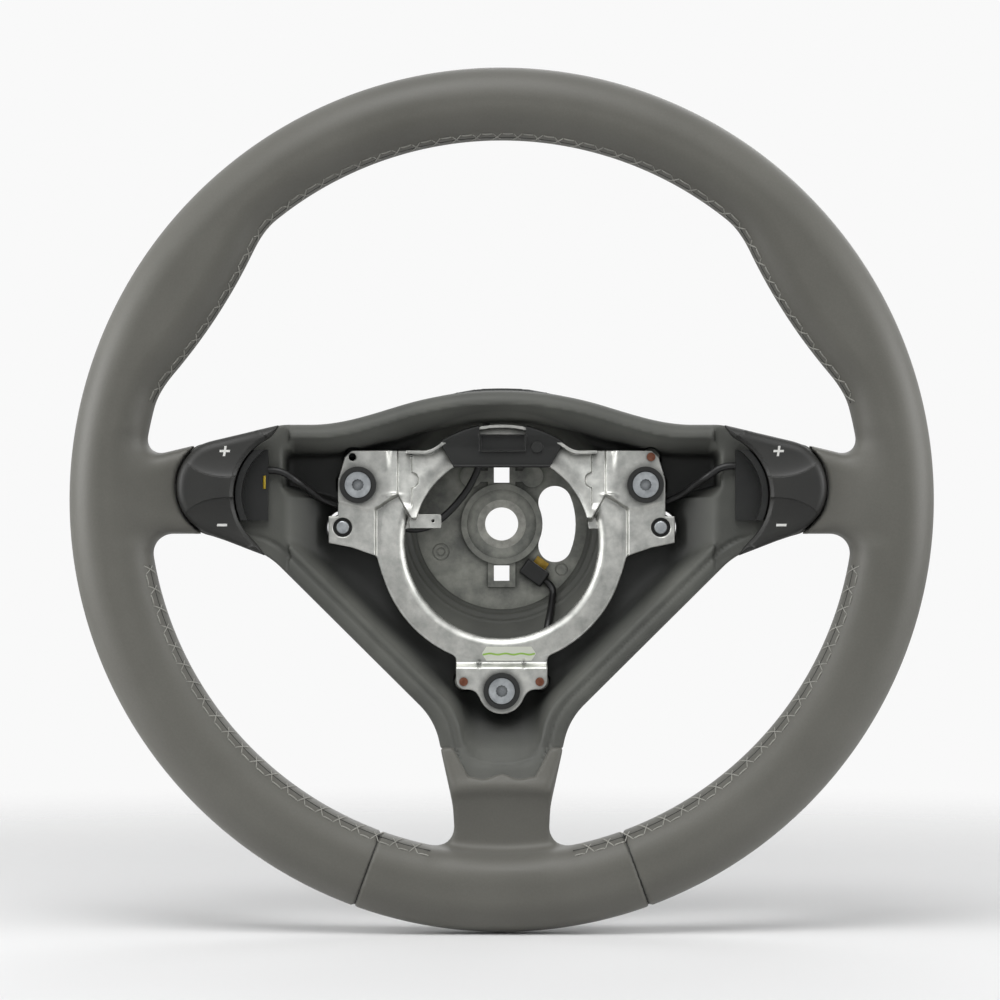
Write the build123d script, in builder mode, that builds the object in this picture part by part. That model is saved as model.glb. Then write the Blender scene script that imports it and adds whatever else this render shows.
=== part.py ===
from build123d import *
import os
from math import asin, cos, radians, sin, sqrt, tan

# A three-spoke car steering wheel with its air bag taken off.
# The steering axis is Y with +Y away from the driver, +Z is up and +X is the driver's right.
# The origin is the centre of the hub's rear seat, where the steering shaft enters.
# A height is a distance towards the driver from that seat, so it is minus Y.
# The plan of the rim, spokes and hub is drawn around the rim's centre.

# Rim
RIM_DIAMETER = 380.0
RIM_DEPTH = 29.0
RIM_EDGE = 13.8
RIM_PLANE = 66.0
RIM_LIFT = 11.0
RIM_W = 32.0
LOWER_RIM_W = 35.0
THUMB_Z = 81.15
THUMB_W = 41.0
THUMB_R = 250.0
THUMB_BLEND = 40.0
LEATHER = 1.2
SEAM_ANGLE = 20.0
SEAM_GAP = 0.4
CORE_BAR = 9.0
CORE_IN = 18.0

# Spokes and hub surround, in plan
SHOULDER_X = 97.0
SHOULDER_Z = 33.2
SPOKE_TOP_ANGLE = 13.7
COWL_TOP = 48.3
COWL_R = 155.0
COWL_BLEND = 85.0
COWL_FOOT = 1.0
THUMB_FOOT = 5.0
SPOKE_UNDER = -15.0
UNDER_RUN = 24.0
WAIST_RUN = 28.0
WAIST_Z = -24.6
CHIN = (29.7, -97.4)
LOWER_SPOKE = 43.0
LOWER_SPOKE_RUN = 20.0
UPPER_CORNER = 9.0
LOWER_CORNER = 11.0
FOOT_CORNER = 9.0
OUTLINE_BLEND = 30.0
TONGUE_Z = -121.5
TONGUE_W = 22.0
TONGUE_SIDE_Z = -109.0

# Valleys where the spokes' leather falls away from the rim
LOWER_DIP = 67.0
LOWER_DIP_RUN = 63.0
LOWER_DIP_R = 45.0
SIDE_DIP = 73.0
SIDE_DIP_RUN = 55.0
SIDE_DIP_R = 60.0

# Foam hub surround, as heights and widths
FOAM_BACK = 27.0
FOAM_FLOOR = 40.0
LIP_FRONT = 62.0
LIP_W = 10.0
COWL_BAND = 12.8
BAND_Z = 27.5
BACK_SLOPE_X = 96.0
BACK_SLOPE_Z = -88.0
TRAY_X = 94.0
TRAY_Z = -110.0
RAMP_FOOT_Z = -90.0
RAMP_TOP_Z = -114.0
POD_SEAT = 59.5
BOWL_TOP_R = 52.0
BOWL_LINING = 2.5
BOWL_COVER = 4.0

# Hub casting
FLOOR_R = 38.5
FLOOR_REAR = 14.0
FLOOR_FRONT = 18.0
BOSS_R = 18.3
BOSS_RISE = 2.5
BOSS_WALL = 2.6
REAR_BOSS_R = 17.0
CONE_WALL = 3.0
ARM_MID = 34.0
ARM_T = 6.0
ARM_W = 19.0
ARM_Z = 14.5
ARM_END = 57.0
ARM_BEND_X = 96.0
ARM_RISE_X = 140.0
LOWER_ARM_W = 22.0
LOWER_BEND_Z = -83.0
LOWER_RISE_Z = -112.0
EYE = 16.0
POST_TOP = 38.0
POST_R = 9.0
KIDNEY_R = 26.0
KIDNEY_W = 15.0
KIDNEY_SWEEP = 44.0
DRIVE_HOLE = 7.0
DRIVE_HOLE_Z = 22.2
DRIVE_PAD = 12.4
DRIVE_PAD_RISE = 1.6
LOBE = (13.8, 21.6)
LOBE_R = 5.0
CONTACT_PAD_R = 4.0

# Serrated bush
BUSH_R = 11.0
BUSH_FRONT = 17.0
SPLINE_MINOR_R = 7.5
SPLINE_DEPTH = 0.8
SPLINE_TEETH = 36
PILOT_R = 9.2
PILOT_L = 5.0

# Floating horn plate
PLATE_BACK = 47.0
PLATE_T = 2.0
PLATE_Z = -7.5
PLATE_R = 55.2
PLATE_OPEN_R = 43.4
PLATE_TOP_OPEN_R = 39.1
PLATE_TOP_R = 48.5
PLATE_TOP_Z = -4.0
PLATE_FLANGE = 4.0
PLATE_FLANGE_T = 1.5
PLATE_ARM = (
    (0.0, 32.0),
    (40.5, 33.0),
    (66.8, 33.0),
    (69.8, 30.0),
    (72.8, 19.6),
    (72.8, 3.7),
    (77.0, 3.7),
    (77.0, -8.3),
    (66.7, -10.3),
    (55.2, -14.3),
    (52.2, -21.5),
    (0.0, -21.5),
)
FLANGE_FOOT_Z = 33.0
TAB_W = 37.8
TAB_L = 19.8
TAB_Z = -71.8
TAB_LOBE_R = 10.4
EAR_CORNER = 2.5
SPADE_Z = 1.4
SPADE_END = -26.8
SPADE_W = 6.3
SPADE_T = 0.8
SPADE_HOLE = 0.9
SPADE_HOLE_IN = 3.7
HORN_TRAVEL = 1.5

# Sprung bolts of the plate
SIDE_BOLT = (63.8, 17.6)
FOOT_BOLT = (0.0, -73.8)
BOLT_HEAD_R = 5.8
BOLT_HEAD_H = 4.0
BOLT_SHOULDER_R = 3.6
BOLT_THREAD_R = 2.6
BOLT_THREAD_L = 8.0
TORX_R = 2.7
COLLAR_R = 8.1
COLLAR_H = 5.0
COLLAR_FLOOR = 0.5
BUSH_NECK_R = 6.2
RUN_GAP = 0.3
SPRING_WIRE = 1.0
SPRING_TURNS = 4.0

# Contacts and air bag screws
CONTACTS = ((66.3, 30.0), (16.9, -69.8), (-16.9, -69.8))
SPARE_HOLE = (-66.3, 30.0)
CONTACT_HEAD_R = 1.9
CONTACT_SHANK_R = 1.5
CONTACT_TIP_R = 2.0
CONTACT_TIP = 2.5
EAR_HOLE = (70.7, -1.3)
EAR_HOLE_R = 3.4
SLEEVE_R = 6.0
SLEEVE_L = 14.0
SCREW_R = 3.0
SCREW_HEAD_R = 5.4
SCREW_HEAD_H = 5.0
SCREW_SHY = 0.5
SCREW_ROOM = 1.6

# Bridge over the plate's top
BRIDGE_W = 47.0
BRIDGE_FOOT_Z = 25.2
BRIDGE_R = 49.3
BRIDGE_T = 5.5
BRIDGE_WINDOW = 20.0
BRIDGE_WINDOW_Z = 8.0
BRIDGE_EDGE = 1.2
BRIDGE_HOOK = 1.6
BRIDGE_HOOK_X = 16.0
BRIDGE_HOOK_W = 7.0

# Shift rocker and its holder, in plan around the rim's centre
ROCKER_X = 120.5
ROCKER_Z = 5.4
ROCKER_R = 22.0
ROCKER_SKIRT = 18.0
ROCKER_SKIRT_W = 16.5
ROCKER_ANGLES = (63.0, -69.0)
ROCKER_TIP = ((97.6, 32.8), (101.4, 27.4))
ROCKER_WAIST = (117.5, 4.6)
ROCKER_HEEL = ((107.6, -19.2), (104.0, -24.5))
ROCKER_CORNER = 1.9
ROCKER_GAP = 0.8
ROCKER_BACK = 64.3
ROCKER_FRONT = 77.0
ROCKER_WALL = 2.2
ROCKER_EDGE = 1.8
DISH_R = 40.0
DISH_DEPTH = 2.2
DISH_PITCH = 34.0
DISH_X = 117.0
PIVOT_H = 68.0
PIN_R = 1.5
PIN_GAP = 0.06
LUG_T = 2.6
LUG_R = 3.4
LUG_INNER_X = 121.0
LUG_OUTER_X = 135.0
RIB_R = 3.0
RIB_GAP = 0.4
BASE_T = 3.0
BASE_INSET = 4.0
SCREEN_T = 2.6
SCREEN_TOP = 71.0
HOLDER_X = 103.0
HOLDER_Z = (-9.0, 22.0)
BOARD_T = 1.6
BOARD_X = (124.0, 134.6)
BOARD_Z = (-6.0, 17.0)
DOME_R = 3.2
DOME_TOP_R = 2.2
DOME_H = 5.0
DOME_Z = 8.2
DOME_X = 129.3
PEG_R = 2.0
POD_SCREWS = ((119.5, 19.5), (121.0, -10.6))
POD_SCREW_R = 1.8
POD_SCREW_HEAD_R = 2.8
POD_SCREW_HEAD_H = 2.0
POD_SCREW_L = 12.0
POD_BOSS_R = 4.2

# Leads
LEAD_R = 1.6
ARC_SHARE = 0.45
LEAD_EXIT = POD_SEAT + 2.3
LEFT_ROUTE = (
    (-HOLDER_X, LEAD_EXIT, 24.0),
    (-97.5, LEAD_EXIT, 24.0),
    (-91.0, 61.2, 19.5),
    (-86.0, 53.0, 15.5),
    (-80.0, 46.0, 11.0),
    (-72.0, 43.0, 8.0),
    (-60.0, 42.5, 5.5),
    (-46.0, 41.0, -2.0),
    (-33.0, 37.5, -2.5),
    (-21.0, 36.5, 7.5),
    (-12.0, 37.5, 20.0),
    (-8.0, 40.0, 34.0),
    (-6.5, 42.0, 46.0),
    (-6.5, 42.5, 55.0),
)
RIGHT_ROUTE = (
    (HOLDER_X, LEAD_EXIT, 26.0),
    (97.5, LEAD_EXIT, 26.0),
    (91.0, 61.2, 21.5),
    (86.0, 53.0, 17.5),
    (80.0, 46.0, 13.0),
    (73.0, 43.2, 10.0),
    (66.0, 42.5, 8.2),
    (61.0, 41.0, 5.0),
    (59.3, 37.2, 3.2),
)
GROUND_ROUTE = (
    (19.56, 21.2, -25.53),
    (23.61, 21.2, -28.47),
    (22.6, 25.5, -34.6),
    (21.8, 34.0, -39.5),
    (20.2, 41.0, -46.5),
    (19.5, 43.2, -54.0),
    (18.8, 41.5, -60.0),
    (18.6, 37.5, -61.5),
)
TAB_PLACE = (16.3, -19.8)
TAB_SIZE = (6.3, 9.0)
TAB_T = 0.8
CONNECTOR_PLACE = (14.7, -22.0)
CONNECTOR_SIZE = (12.0, 7.6)
CONNECTOR_T = 6.4
CONNECTOR_TURN = -36.0

RIM_R = RIM_DIAMETER / 2
UPPER_WINDOW_R = RIM_R - RIM_W
LOWER_WINDOW_R = RIM_R - LOWER_RIM_W
THUMB_REACH = RIM_R - THUMB_W
THUMB_ANGLE = asin(THUMB_Z / THUMB_REACH)
CORE_R = RIM_R - CORE_IN
UNDER_X = LOWER_WINDOW_R - UNDER_RUN
WAIST = (UNDER_X - WAIST_RUN, WAIST_Z)
LOWER_SPOKE_Z = LOWER_SPOKE_RUN - LOWER_WINDOW_R
LOWER_DIP_Z = LOWER_DIP_RUN - RIM_R
SIDE_DIP_X = RIM_R - SIDE_DIP_RUN
PLATE_FRONT = PLATE_BACK + PLATE_T
HEAD_SEAT = PLATE_FRONT + COLLAR_FLOOR
ARM_FRONT = ARM_MID + ARM_T / 2
POD_SCREW_END = POD_SEAT + BASE_T - POD_SCREW_L
BOLTS = (SIDE_BOLT, (-SIDE_BOLT[0], SIDE_BOLT[1]), FOOT_BOLT)
EARS = (EAR_HOLE, (-EAR_HOLE[0], EAR_HOLE[1]))

os.makedirs("parts", exist_ok=True)


def save(piece, name):
    """Label a finished piece and write it as its own file."""
    piece.label = name
    export_step(piece, f"parts/{name}.step")


def facing(height, lift=0.0):
    """Sketch plane across the steering axis: x right, y up, normal towards the driver."""
    return Plane(origin=(0, -height, lift), x_dir=(1, 0, 0), z_dir=(0, -1, 0))


def corner(sketch, x, y):
    """The vertex of a sketch that lies nearest to a point."""
    return sketch.vertices().sort_by_distance((x, y, 0))[0]


def on_circle(radius, y):
    """Right-hand x where a circle around the rim's centre has the given y."""
    return sqrt(radius**2 - y**2)


def upper_window(inset):
    """Opening between the rim's upper arc, its thumb rests, the side spokes and the cowl."""
    far = 2 * RIM_R
    fall = tan(radians(SPOKE_TOP_ANGLE)) * (far - SHOULDER_X)
    thumb = THUMB_REACH + THUMB_R
    with BuildSketch() as below:
        with BuildLine():
            Polyline(
                (-far, SHOULDER_Z - fall),
                (-SHOULDER_X, SHOULDER_Z),
                (SHOULDER_X, SHOULDER_Z),
                (far, SHOULDER_Z - fall),
                (far, -far),
                (-far, -far),
                close=True,
            )
        make_face()
        offset(amount=-inset, kind=Kind.INTERSECTION)
    with BuildSketch() as window:
        Circle(UPPER_WINDOW_R + inset)
        for side in (1, -1):
            with Locations((side * thumb * cos(THUMB_ANGLE), thumb * sin(THUMB_ANGLE))):
                Circle(THUMB_R - inset, mode=Mode.SUBTRACT)
        add(below.sketch, mode=Mode.SUBTRACT)
        with Locations((0, COWL_TOP - COWL_R)):
            Circle(COWL_R - inset, mode=Mode.SUBTRACT)
        low = window.vertices().filter_by(lambda v: v.Y < SHOULDER_Z + COWL_FOOT).sort_by(lambda v: abs(v.X))
        fillet(low[:2], COWL_BLEND + inset)
        high = window.vertices().filter_by(lambda v: v.Y > SHOULDER_Z + THUMB_FOOT)
        fillet(high.filter_by(lambda v: abs(v.X) > SHOULDER_X), THUMB_BLEND + inset)
        fillet(window.vertices().sort_by(lambda v: v.Y)[:2], UPPER_CORNER + inset)
        fillet([corner(window, side * SHOULDER_X, SHOULDER_Z) for side in (1, -1)], OUTLINE_BLEND - inset)
    return window.sketch


def lower_window(inset):
    """Right-hand opening between the rim, the side spoke, the hub's diagonal and the lower spoke."""
    far = 2 * RIM_R
    half = LOWER_SPOKE / 2
    with BuildSketch() as above:
        with BuildLine():
            Polyline(
                (half, -far),
                (half, LOWER_SPOKE_Z),
                CHIN,
                WAIST,
                (UNDER_X, SPOKE_UNDER),
                (far, SPOKE_UNDER),
                (far, far),
                (-far, far),
                (-far, -far),
                close=True,
            )
        make_face()
        offset(amount=-inset, kind=Kind.INTERSECTION)
    with BuildSketch() as window:
        Circle(LOWER_WINDOW_R + inset)
        add(above.sketch, mode=Mode.SUBTRACT)
        for x, y in (CHIN, WAIST, (UNDER_X, SPOKE_UNDER), (half, LOWER_SPOKE_Z)):
            fillet(corner(window, x, y), OUTLINE_BLEND + inset)
        fillet(corner(window, half, -on_circle(LOWER_WINDOW_R, half)), FOOT_CORNER + inset)
        fillet(corner(window, on_circle(LOWER_WINDOW_R, SPOKE_UNDER), SPOKE_UNDER), LOWER_CORNER + inset)
    return window.sketch


def wheel_plan(inset=0.0):
    """Plan of rim, spokes and hub with the three windows cut out, drawn in by an inset."""
    right = lower_window(inset)
    with BuildSketch() as plan:
        Circle(RIM_R - inset)
        add(upper_window(inset), mode=Mode.SUBTRACT)
        add(right, mode=Mode.SUBTRACT)
        mirror(right, about=Plane.YZ, mode=Mode.SUBTRACT)
    return plan.sketch


def rim_form(inset=0.0):
    """Rounded rim and spoke form; the leather's outside, or its inside at one leather thickness in."""
    with BuildPart() as form:
        with BuildSketch(facing(RIM_PLANE - RIM_DEPTH / 2 + inset, RIM_LIFT)):
            add(wheel_plan(inset))
        extrude(amount=RIM_DEPTH - 2 * inset)
        fillet(form.faces().filter_by(Axis.Y).edges(), RIM_EDGE - inset)
        with BuildSketch(Plane.YZ) as lower_dip:
            with Locations((-(LOWER_DIP + LOWER_DIP_R), RIM_LIFT + LOWER_DIP_Z)):
                Circle(LOWER_DIP_R + inset)
        extrude(amount=LOWER_SPOKE / 2 + FOOT_CORNER / 2, both=True, mode=Mode.SUBTRACT)
        dip_half = (SHOULDER_Z - SPOKE_UNDER) / 2
        with BuildSketch(Plane.XY.offset(RIM_LIFT + ROCKER_Z - dip_half)):
            for side in (1, -1):
                with Locations((side * SIDE_DIP_X, -(SIDE_DIP + SIDE_DIP_R))):
                    Circle(SIDE_DIP_R + inset)
        extrude(amount=2 * dip_half, mode=Mode.SUBTRACT)
    return form.part


def bare_plan(gap=0.0):
    """Zone inside the leather's ends: the rockers, the hub and the foam tongue on the lower spoke."""
    half = TONGUE_W / 2
    with BuildSketch() as zone:
        with BuildLine():
            Polyline(
                (-ROCKER_X, COWL_TOP + LIP_W),
                (-ROCKER_X, ROCKER_Z - 2 * ROCKER_R),
                (-CHIN[0], TONGUE_SIDE_Z),
                (-half, TONGUE_Z),
                (half, TONGUE_Z),
                (CHIN[0], TONGUE_SIDE_Z),
                (ROCKER_X, ROCKER_Z - 2 * ROCKER_R),
                (ROCKER_X, COWL_TOP + LIP_W),
                close=True,
            )
        make_face()
        for side in (1, -1):
            with Locations((side * ROCKER_X, ROCKER_Z)):
                Circle(ROCKER_R + gap)
            with Locations((side * ROCKER_X, ROCKER_Z - ROCKER_SKIRT)):
                Rectangle(ROCKER_SKIRT_W, ROCKER_R, align=(Align.CENTER, Align.MAX))
    return zone.sketch


def hub_plan():
    """Plan of the bare zone: everything inside the leather's ends."""
    with BuildSketch() as plan:
        add(wheel_plan())
        add(bare_plan(ROCKER_GAP), mode=Mode.INTERSECT)
    return plan.sketch


def cylinder(place, radius, low, high, mode=Mode.ADD):
    """Round bar along the steering axis between two heights."""
    with BuildSketch(facing(low)) as disc:
        with Locations(place):
            Circle(radius)
    extrude(disc.sketch, amount=high - low, mode=mode)


def lead(points):
    """Round lead along straight runs joined by arcs that use most of each run; a point is (x, height, z)."""
    route = [Vector(x, -height, z) for x, height, z in points]
    radii = []
    for before, here, after in zip(route, route[1:], route[2:]):
        turn = (here - before).get_angle(after - here)
        radii.append(ARC_SHARE * min((here - before).length, (after - here).length) / tan(radians(turn / 2)))
    with BuildPart() as wire:
        with BuildLine() as path:
            FilletPolyline(*route, radius=radii)
        with BuildSketch(Plane(origin=path.line @ 0, z_dir=path.line % 0)):
            Circle(LEAD_R)
        sweep()
    print("lead radii", [round(radius, 1) for radius in radii])
    return wire.part


WHOLE_FORM = rim_form()
INNER_FORM = rim_form(LEATHER)

with BuildPart() as leather:
    add(WHOLE_FORM)
    add(INNER_FORM, mode=Mode.SUBTRACT)
    with BuildSketch(facing(0, RIM_LIFT)):
        add(bare_plan(ROCKER_GAP))
    extrude(amount=RIM_PLANE + RIM_DEPTH, mode=Mode.SUBTRACT)

seam_x = sin(radians(SEAM_ANGLE)) * 2 * RIM_R
seam_z = -cos(radians(SEAM_ANGLE)) * 2 * RIM_R
with BuildPart() as seam_wedge:
    with BuildSketch(facing(0, RIM_LIFT)):
        with BuildLine():
            Polyline((0, 0), (seam_x, seam_z), (-seam_x, seam_z), close=True)
        make_face()
    extrude(amount=RIM_PLANE + RIM_DEPTH)
with BuildPart() as seam_room:
    with BuildSketch(facing(0, RIM_LIFT)):
        with BuildLine():
            Polyline((0, 0), (seam_x, seam_z), (-seam_x, seam_z), close=True)
        make_face()
        offset(amount=SEAM_GAP, kind=Kind.INTERSECTION)
    extrude(amount=RIM_PLANE + RIM_DEPTH)

with BuildPart() as leather_upper:
    add(leather.part)
    add(seam_room.part, mode=Mode.SUBTRACT)
save(leather_upper.part, "leather_upper")

with BuildPart() as leather_lower:
    add(leather.part)
    add(seam_wedge.part, mode=Mode.INTERSECT)
save(leather_lower.part, "leather_lower")

with BuildPart() as rim_core:
    with Locations(Location((0, -RIM_PLANE, RIM_LIFT), (90, 0, 0))):
        Torus(CORE_R, CORE_BAR / 2)
save(rim_core.part, "rim_core")

# Serrated steel bush with a plain pilot bore at the rear for the shaft's shoulder.
with BuildPart() as spline_bush:
    cylinder((0, 0), BUSH_R, 0, BUSH_FRONT)
    cylinder((0, 0), SPLINE_MINOR_R, 0, BUSH_FRONT, mode=Mode.SUBTRACT)
    tooth = SPLINE_MINOR_R * radians(360 / SPLINE_TEETH) / 2
    with BuildSketch(facing(0)):
        with PolarLocations(SPLINE_MINOR_R, SPLINE_TEETH):
            with BuildLine():
                Polyline((-SPLINE_DEPTH, -tooth), (SPLINE_DEPTH, 0), (-SPLINE_DEPTH, tooth), close=True)
            make_face()
    extrude(amount=BUSH_FRONT, mode=Mode.SUBTRACT)
    cylinder((0, 0), PILOT_R, 0, PILOT_L, mode=Mode.SUBTRACT)
save(spline_bush.part, "spline_bush")


def arm_band(start, bend, rise, end):
    """Closed outline of a cast arm seen from its side, as (distance, height) pairs."""
    line = [(start, ARM_MID), (bend, ARM_MID), (rise, ARM_END), (end, ARM_END)]
    top = [(along, height + ARM_T / 2) for along, height in line]
    low = [(along, height - ARM_T / 2) for along, height in reversed(line)]
    return top + low


def arm_height(x):
    """Middle height of a side arm where it climbs to the rim."""
    return ARM_MID + (x - ARM_BEND_X) / (ARM_RISE_X - ARM_BEND_X) * (ARM_END - ARM_MID)


def bowl_r(height):
    """Radius of the bowl's inner wall at a height."""
    share = (height - FLOOR_FRONT) / (FOAM_FLOOR - FLOOR_FRONT)
    return FLOOR_R + share * (BOWL_TOP_R - FLOOR_R)


arm_reach = on_circle(CORE_R, ROCKER_Z)
foot_reach = RIM_LIFT - CORE_R
cone_in = bowl_r(ARM_FRONT) + BOWL_LINING

# One casting: hub floor with boss and bowl wall, two side arms, a lower arm and the plate's posts.
with BuildPart() as hub_casting:
    with BuildSketch(Plane.XY):
        with BuildLine():
            Polyline(
                (BUSH_R, 0),
                (REAR_BOSS_R, 0),
                (REAR_BOSS_R, -FLOOR_REAR),
                (FLOOR_R + BOWL_LINING, -FLOOR_REAR),
                (cone_in + CONE_WALL, -ARM_FRONT),
                (cone_in, -ARM_FRONT),
                (FLOOR_R + BOWL_LINING, -FLOOR_FRONT),
                (BOSS_R, -FLOOR_FRONT),
                (BOSS_R, -FLOOR_FRONT - BOSS_RISE),
                (BOSS_R - BOSS_WALL, -FLOOR_FRONT - BOSS_RISE),
                (BOSS_R - BOSS_WALL, -FLOOR_FRONT),
                (BUSH_R, -BUSH_FRONT),
                close=True,
            )
        make_face()
    revolve(axis=Axis.Y)
    with BuildSketch(Plane.XY.offset(ARM_Z - ARM_W / 2)):
        with BuildLine():
            Polyline(
                *[(x, -h) for x, h in arm_band(cone_in, ARM_BEND_X, ARM_RISE_X, arm_reach)],
                close=True,
            )
        make_face()
        with Locations((arm_reach, -RIM_PLANE)):
            Rectangle(EYE, EYE)
        mirror(about=Plane.YZ)
    extrude(amount=ARM_W)
    with BuildSketch(Plane.YZ):
        with BuildLine():
            Polyline(
                *[(-h, z) for z, h in arm_band(-cone_in, LOWER_BEND_Z, LOWER_RISE_Z, foot_reach)],
                close=True,
            )
        make_face()
        with Locations((-RIM_PLANE, foot_reach)):
            Rectangle(EYE, EYE)
    extrude(amount=LOWER_ARM_W / 2, both=True)
    for x, z in BOLTS:
        cylinder((x, z), POST_R, ARM_MID - ARM_T / 2, POST_TOP)
    contact_gap = CONTACT_TIP + HORN_TRAVEL + RUN_GAP
    for x, z in CONTACTS:
        cylinder((x, z), CONTACT_PAD_R, ARM_MID - ARM_T / 2, PLATE_BACK - contact_gap)
    for x, z in (CONTACTS[0], SPARE_HOLE):
        with BuildSketch(facing(ARM_MID - ARM_T / 2)):
            with Locations((x, ARM_Z)):
                Rectangle(2 * CONTACT_PAD_R, z - ARM_Z, align=(Align.CENTER, Align.MIN))
        extrude(amount=ARM_T)
    with BuildSketch(facing(ARM_MID - ARM_T / 2)):
        with Locations((0, CONTACTS[1][1])):
            Rectangle(2 * CONTACTS[1][0], 2 * CONTACT_PAD_R)
    extrude(amount=ARM_T)
    for x, z in POD_SCREWS:
        low = arm_height(x) - ARM_T / 2
        for side in (1, -1):
            cylinder((side * x, RIM_LIFT + z), POD_BOSS_R, low, POD_SEAT)
            with BuildSketch(facing(low, RIM_LIFT)):
                with Locations((side * x, (z + ROCKER_Z) / 2)):
                    Rectangle(2 * POD_BOSS_R, abs(z - ROCKER_Z))
            extrude(amount=ARM_T)
            cylinder((side * x, RIM_LIFT + z), POD_SCREW_R, POD_SCREW_END, POD_SEAT, Mode.SUBTRACT)
    with BuildSketch(facing(FLOOR_FRONT)):
        for z in (DRIVE_HOLE_Z, -DRIVE_HOLE_Z):
            with Locations((0, z)):
                Rectangle(DRIVE_PAD, DRIVE_PAD)
        for x in (LOBE[0], -LOBE[0]):
            with Locations((x, LOBE[1])):
                Circle(LOBE_R)
        with Locations((0, LOBE[1])):
            Rectangle(2 * LOBE[0], LOBE_R)
    extrude(amount=DRIVE_PAD_RISE)
    with BuildSketch(facing(0)):
        with BuildLine(mode=Mode.PRIVATE) as kidney:
            CenterArc((0, 0), KIDNEY_R, -KIDNEY_SWEEP / 2, KIDNEY_SWEEP)
        SlotArc(kidney.edge(), KIDNEY_W)
        for z in (DRIVE_HOLE_Z, -DRIVE_HOLE_Z):
            with Locations((0, z)):
                Rectangle(DRIVE_HOLE, DRIVE_HOLE)
    extrude(amount=FLOOR_FRONT + BOSS_RISE, mode=Mode.SUBTRACT)
    for x, z in BOLTS:
        cylinder((x, z), BOLT_THREAD_R, POST_TOP - BOLT_THREAD_L, POST_TOP, Mode.SUBTRACT)
    for x, z in EARS:
        cylinder((x, z), SLEEVE_R + SCREW_ROOM, 0, PLATE_BACK, Mode.SUBTRACT)
    add(rim_core.part, mode=Mode.SUBTRACT)
save(hub_casting.part, "hub_casting")

# Hollow of the tray in front of the hub, with drafted walls and a ramp up to the lower tongue.
with BuildPart() as tray_hollow:
    with BuildSketch(facing(LIP_FRONT, RIM_LIFT)):
        add(wheel_plan(LIP_W))
        with BuildSketch(mode=Mode.PRIVATE) as below_band:
            with Locations((0, COWL_TOP - COWL_R)):
                Circle(COWL_R - COWL_BAND)
            with Locations((0, TRAY_Z)):
                Rectangle(2 * TRAY_X, BAND_Z - TRAY_Z, align=(Align.CENTER, Align.MIN))
                Rectangle(2 * TRAY_X, COWL_TOP - TRAY_Z, align=(Align.CENTER, Align.MIN), mode=Mode.INTERSECT)
        add(below_band.sketch, mode=Mode.INTERSECT)
    extrude(amount=FOAM_FLOOR - LIP_FRONT)
    with BuildSketch(Plane.YZ):
        with BuildLine():
            Polyline(
                (-FOAM_FLOOR, RIM_LIFT + RAMP_FOOT_Z),
                (-LIP_FRONT, RIM_LIFT + RAMP_TOP_Z),
                (-FOAM_FLOOR, RIM_LIFT + RAMP_TOP_Z),
                close=True,
            )
        make_face()
    extrude(amount=RIM_R, both=True, mode=Mode.SUBTRACT)

# Leads: one from each rocker holder into the foam, and one from the earth blade to the horn's foot.
left_pod_lead = lead(LEFT_ROUTE)
right_pod_lead = lead(RIGHT_ROUTE)
ground_lead = lead(GROUND_ROUTE)
save(left_pod_lead, "left_pod_lead")
save(right_pod_lead, "right_pod_lead")
save(ground_lead, "ground_lead")

neck = (ROCKER_X + ROCKER_R, RIM_LIFT + ROCKER_Z)

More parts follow.
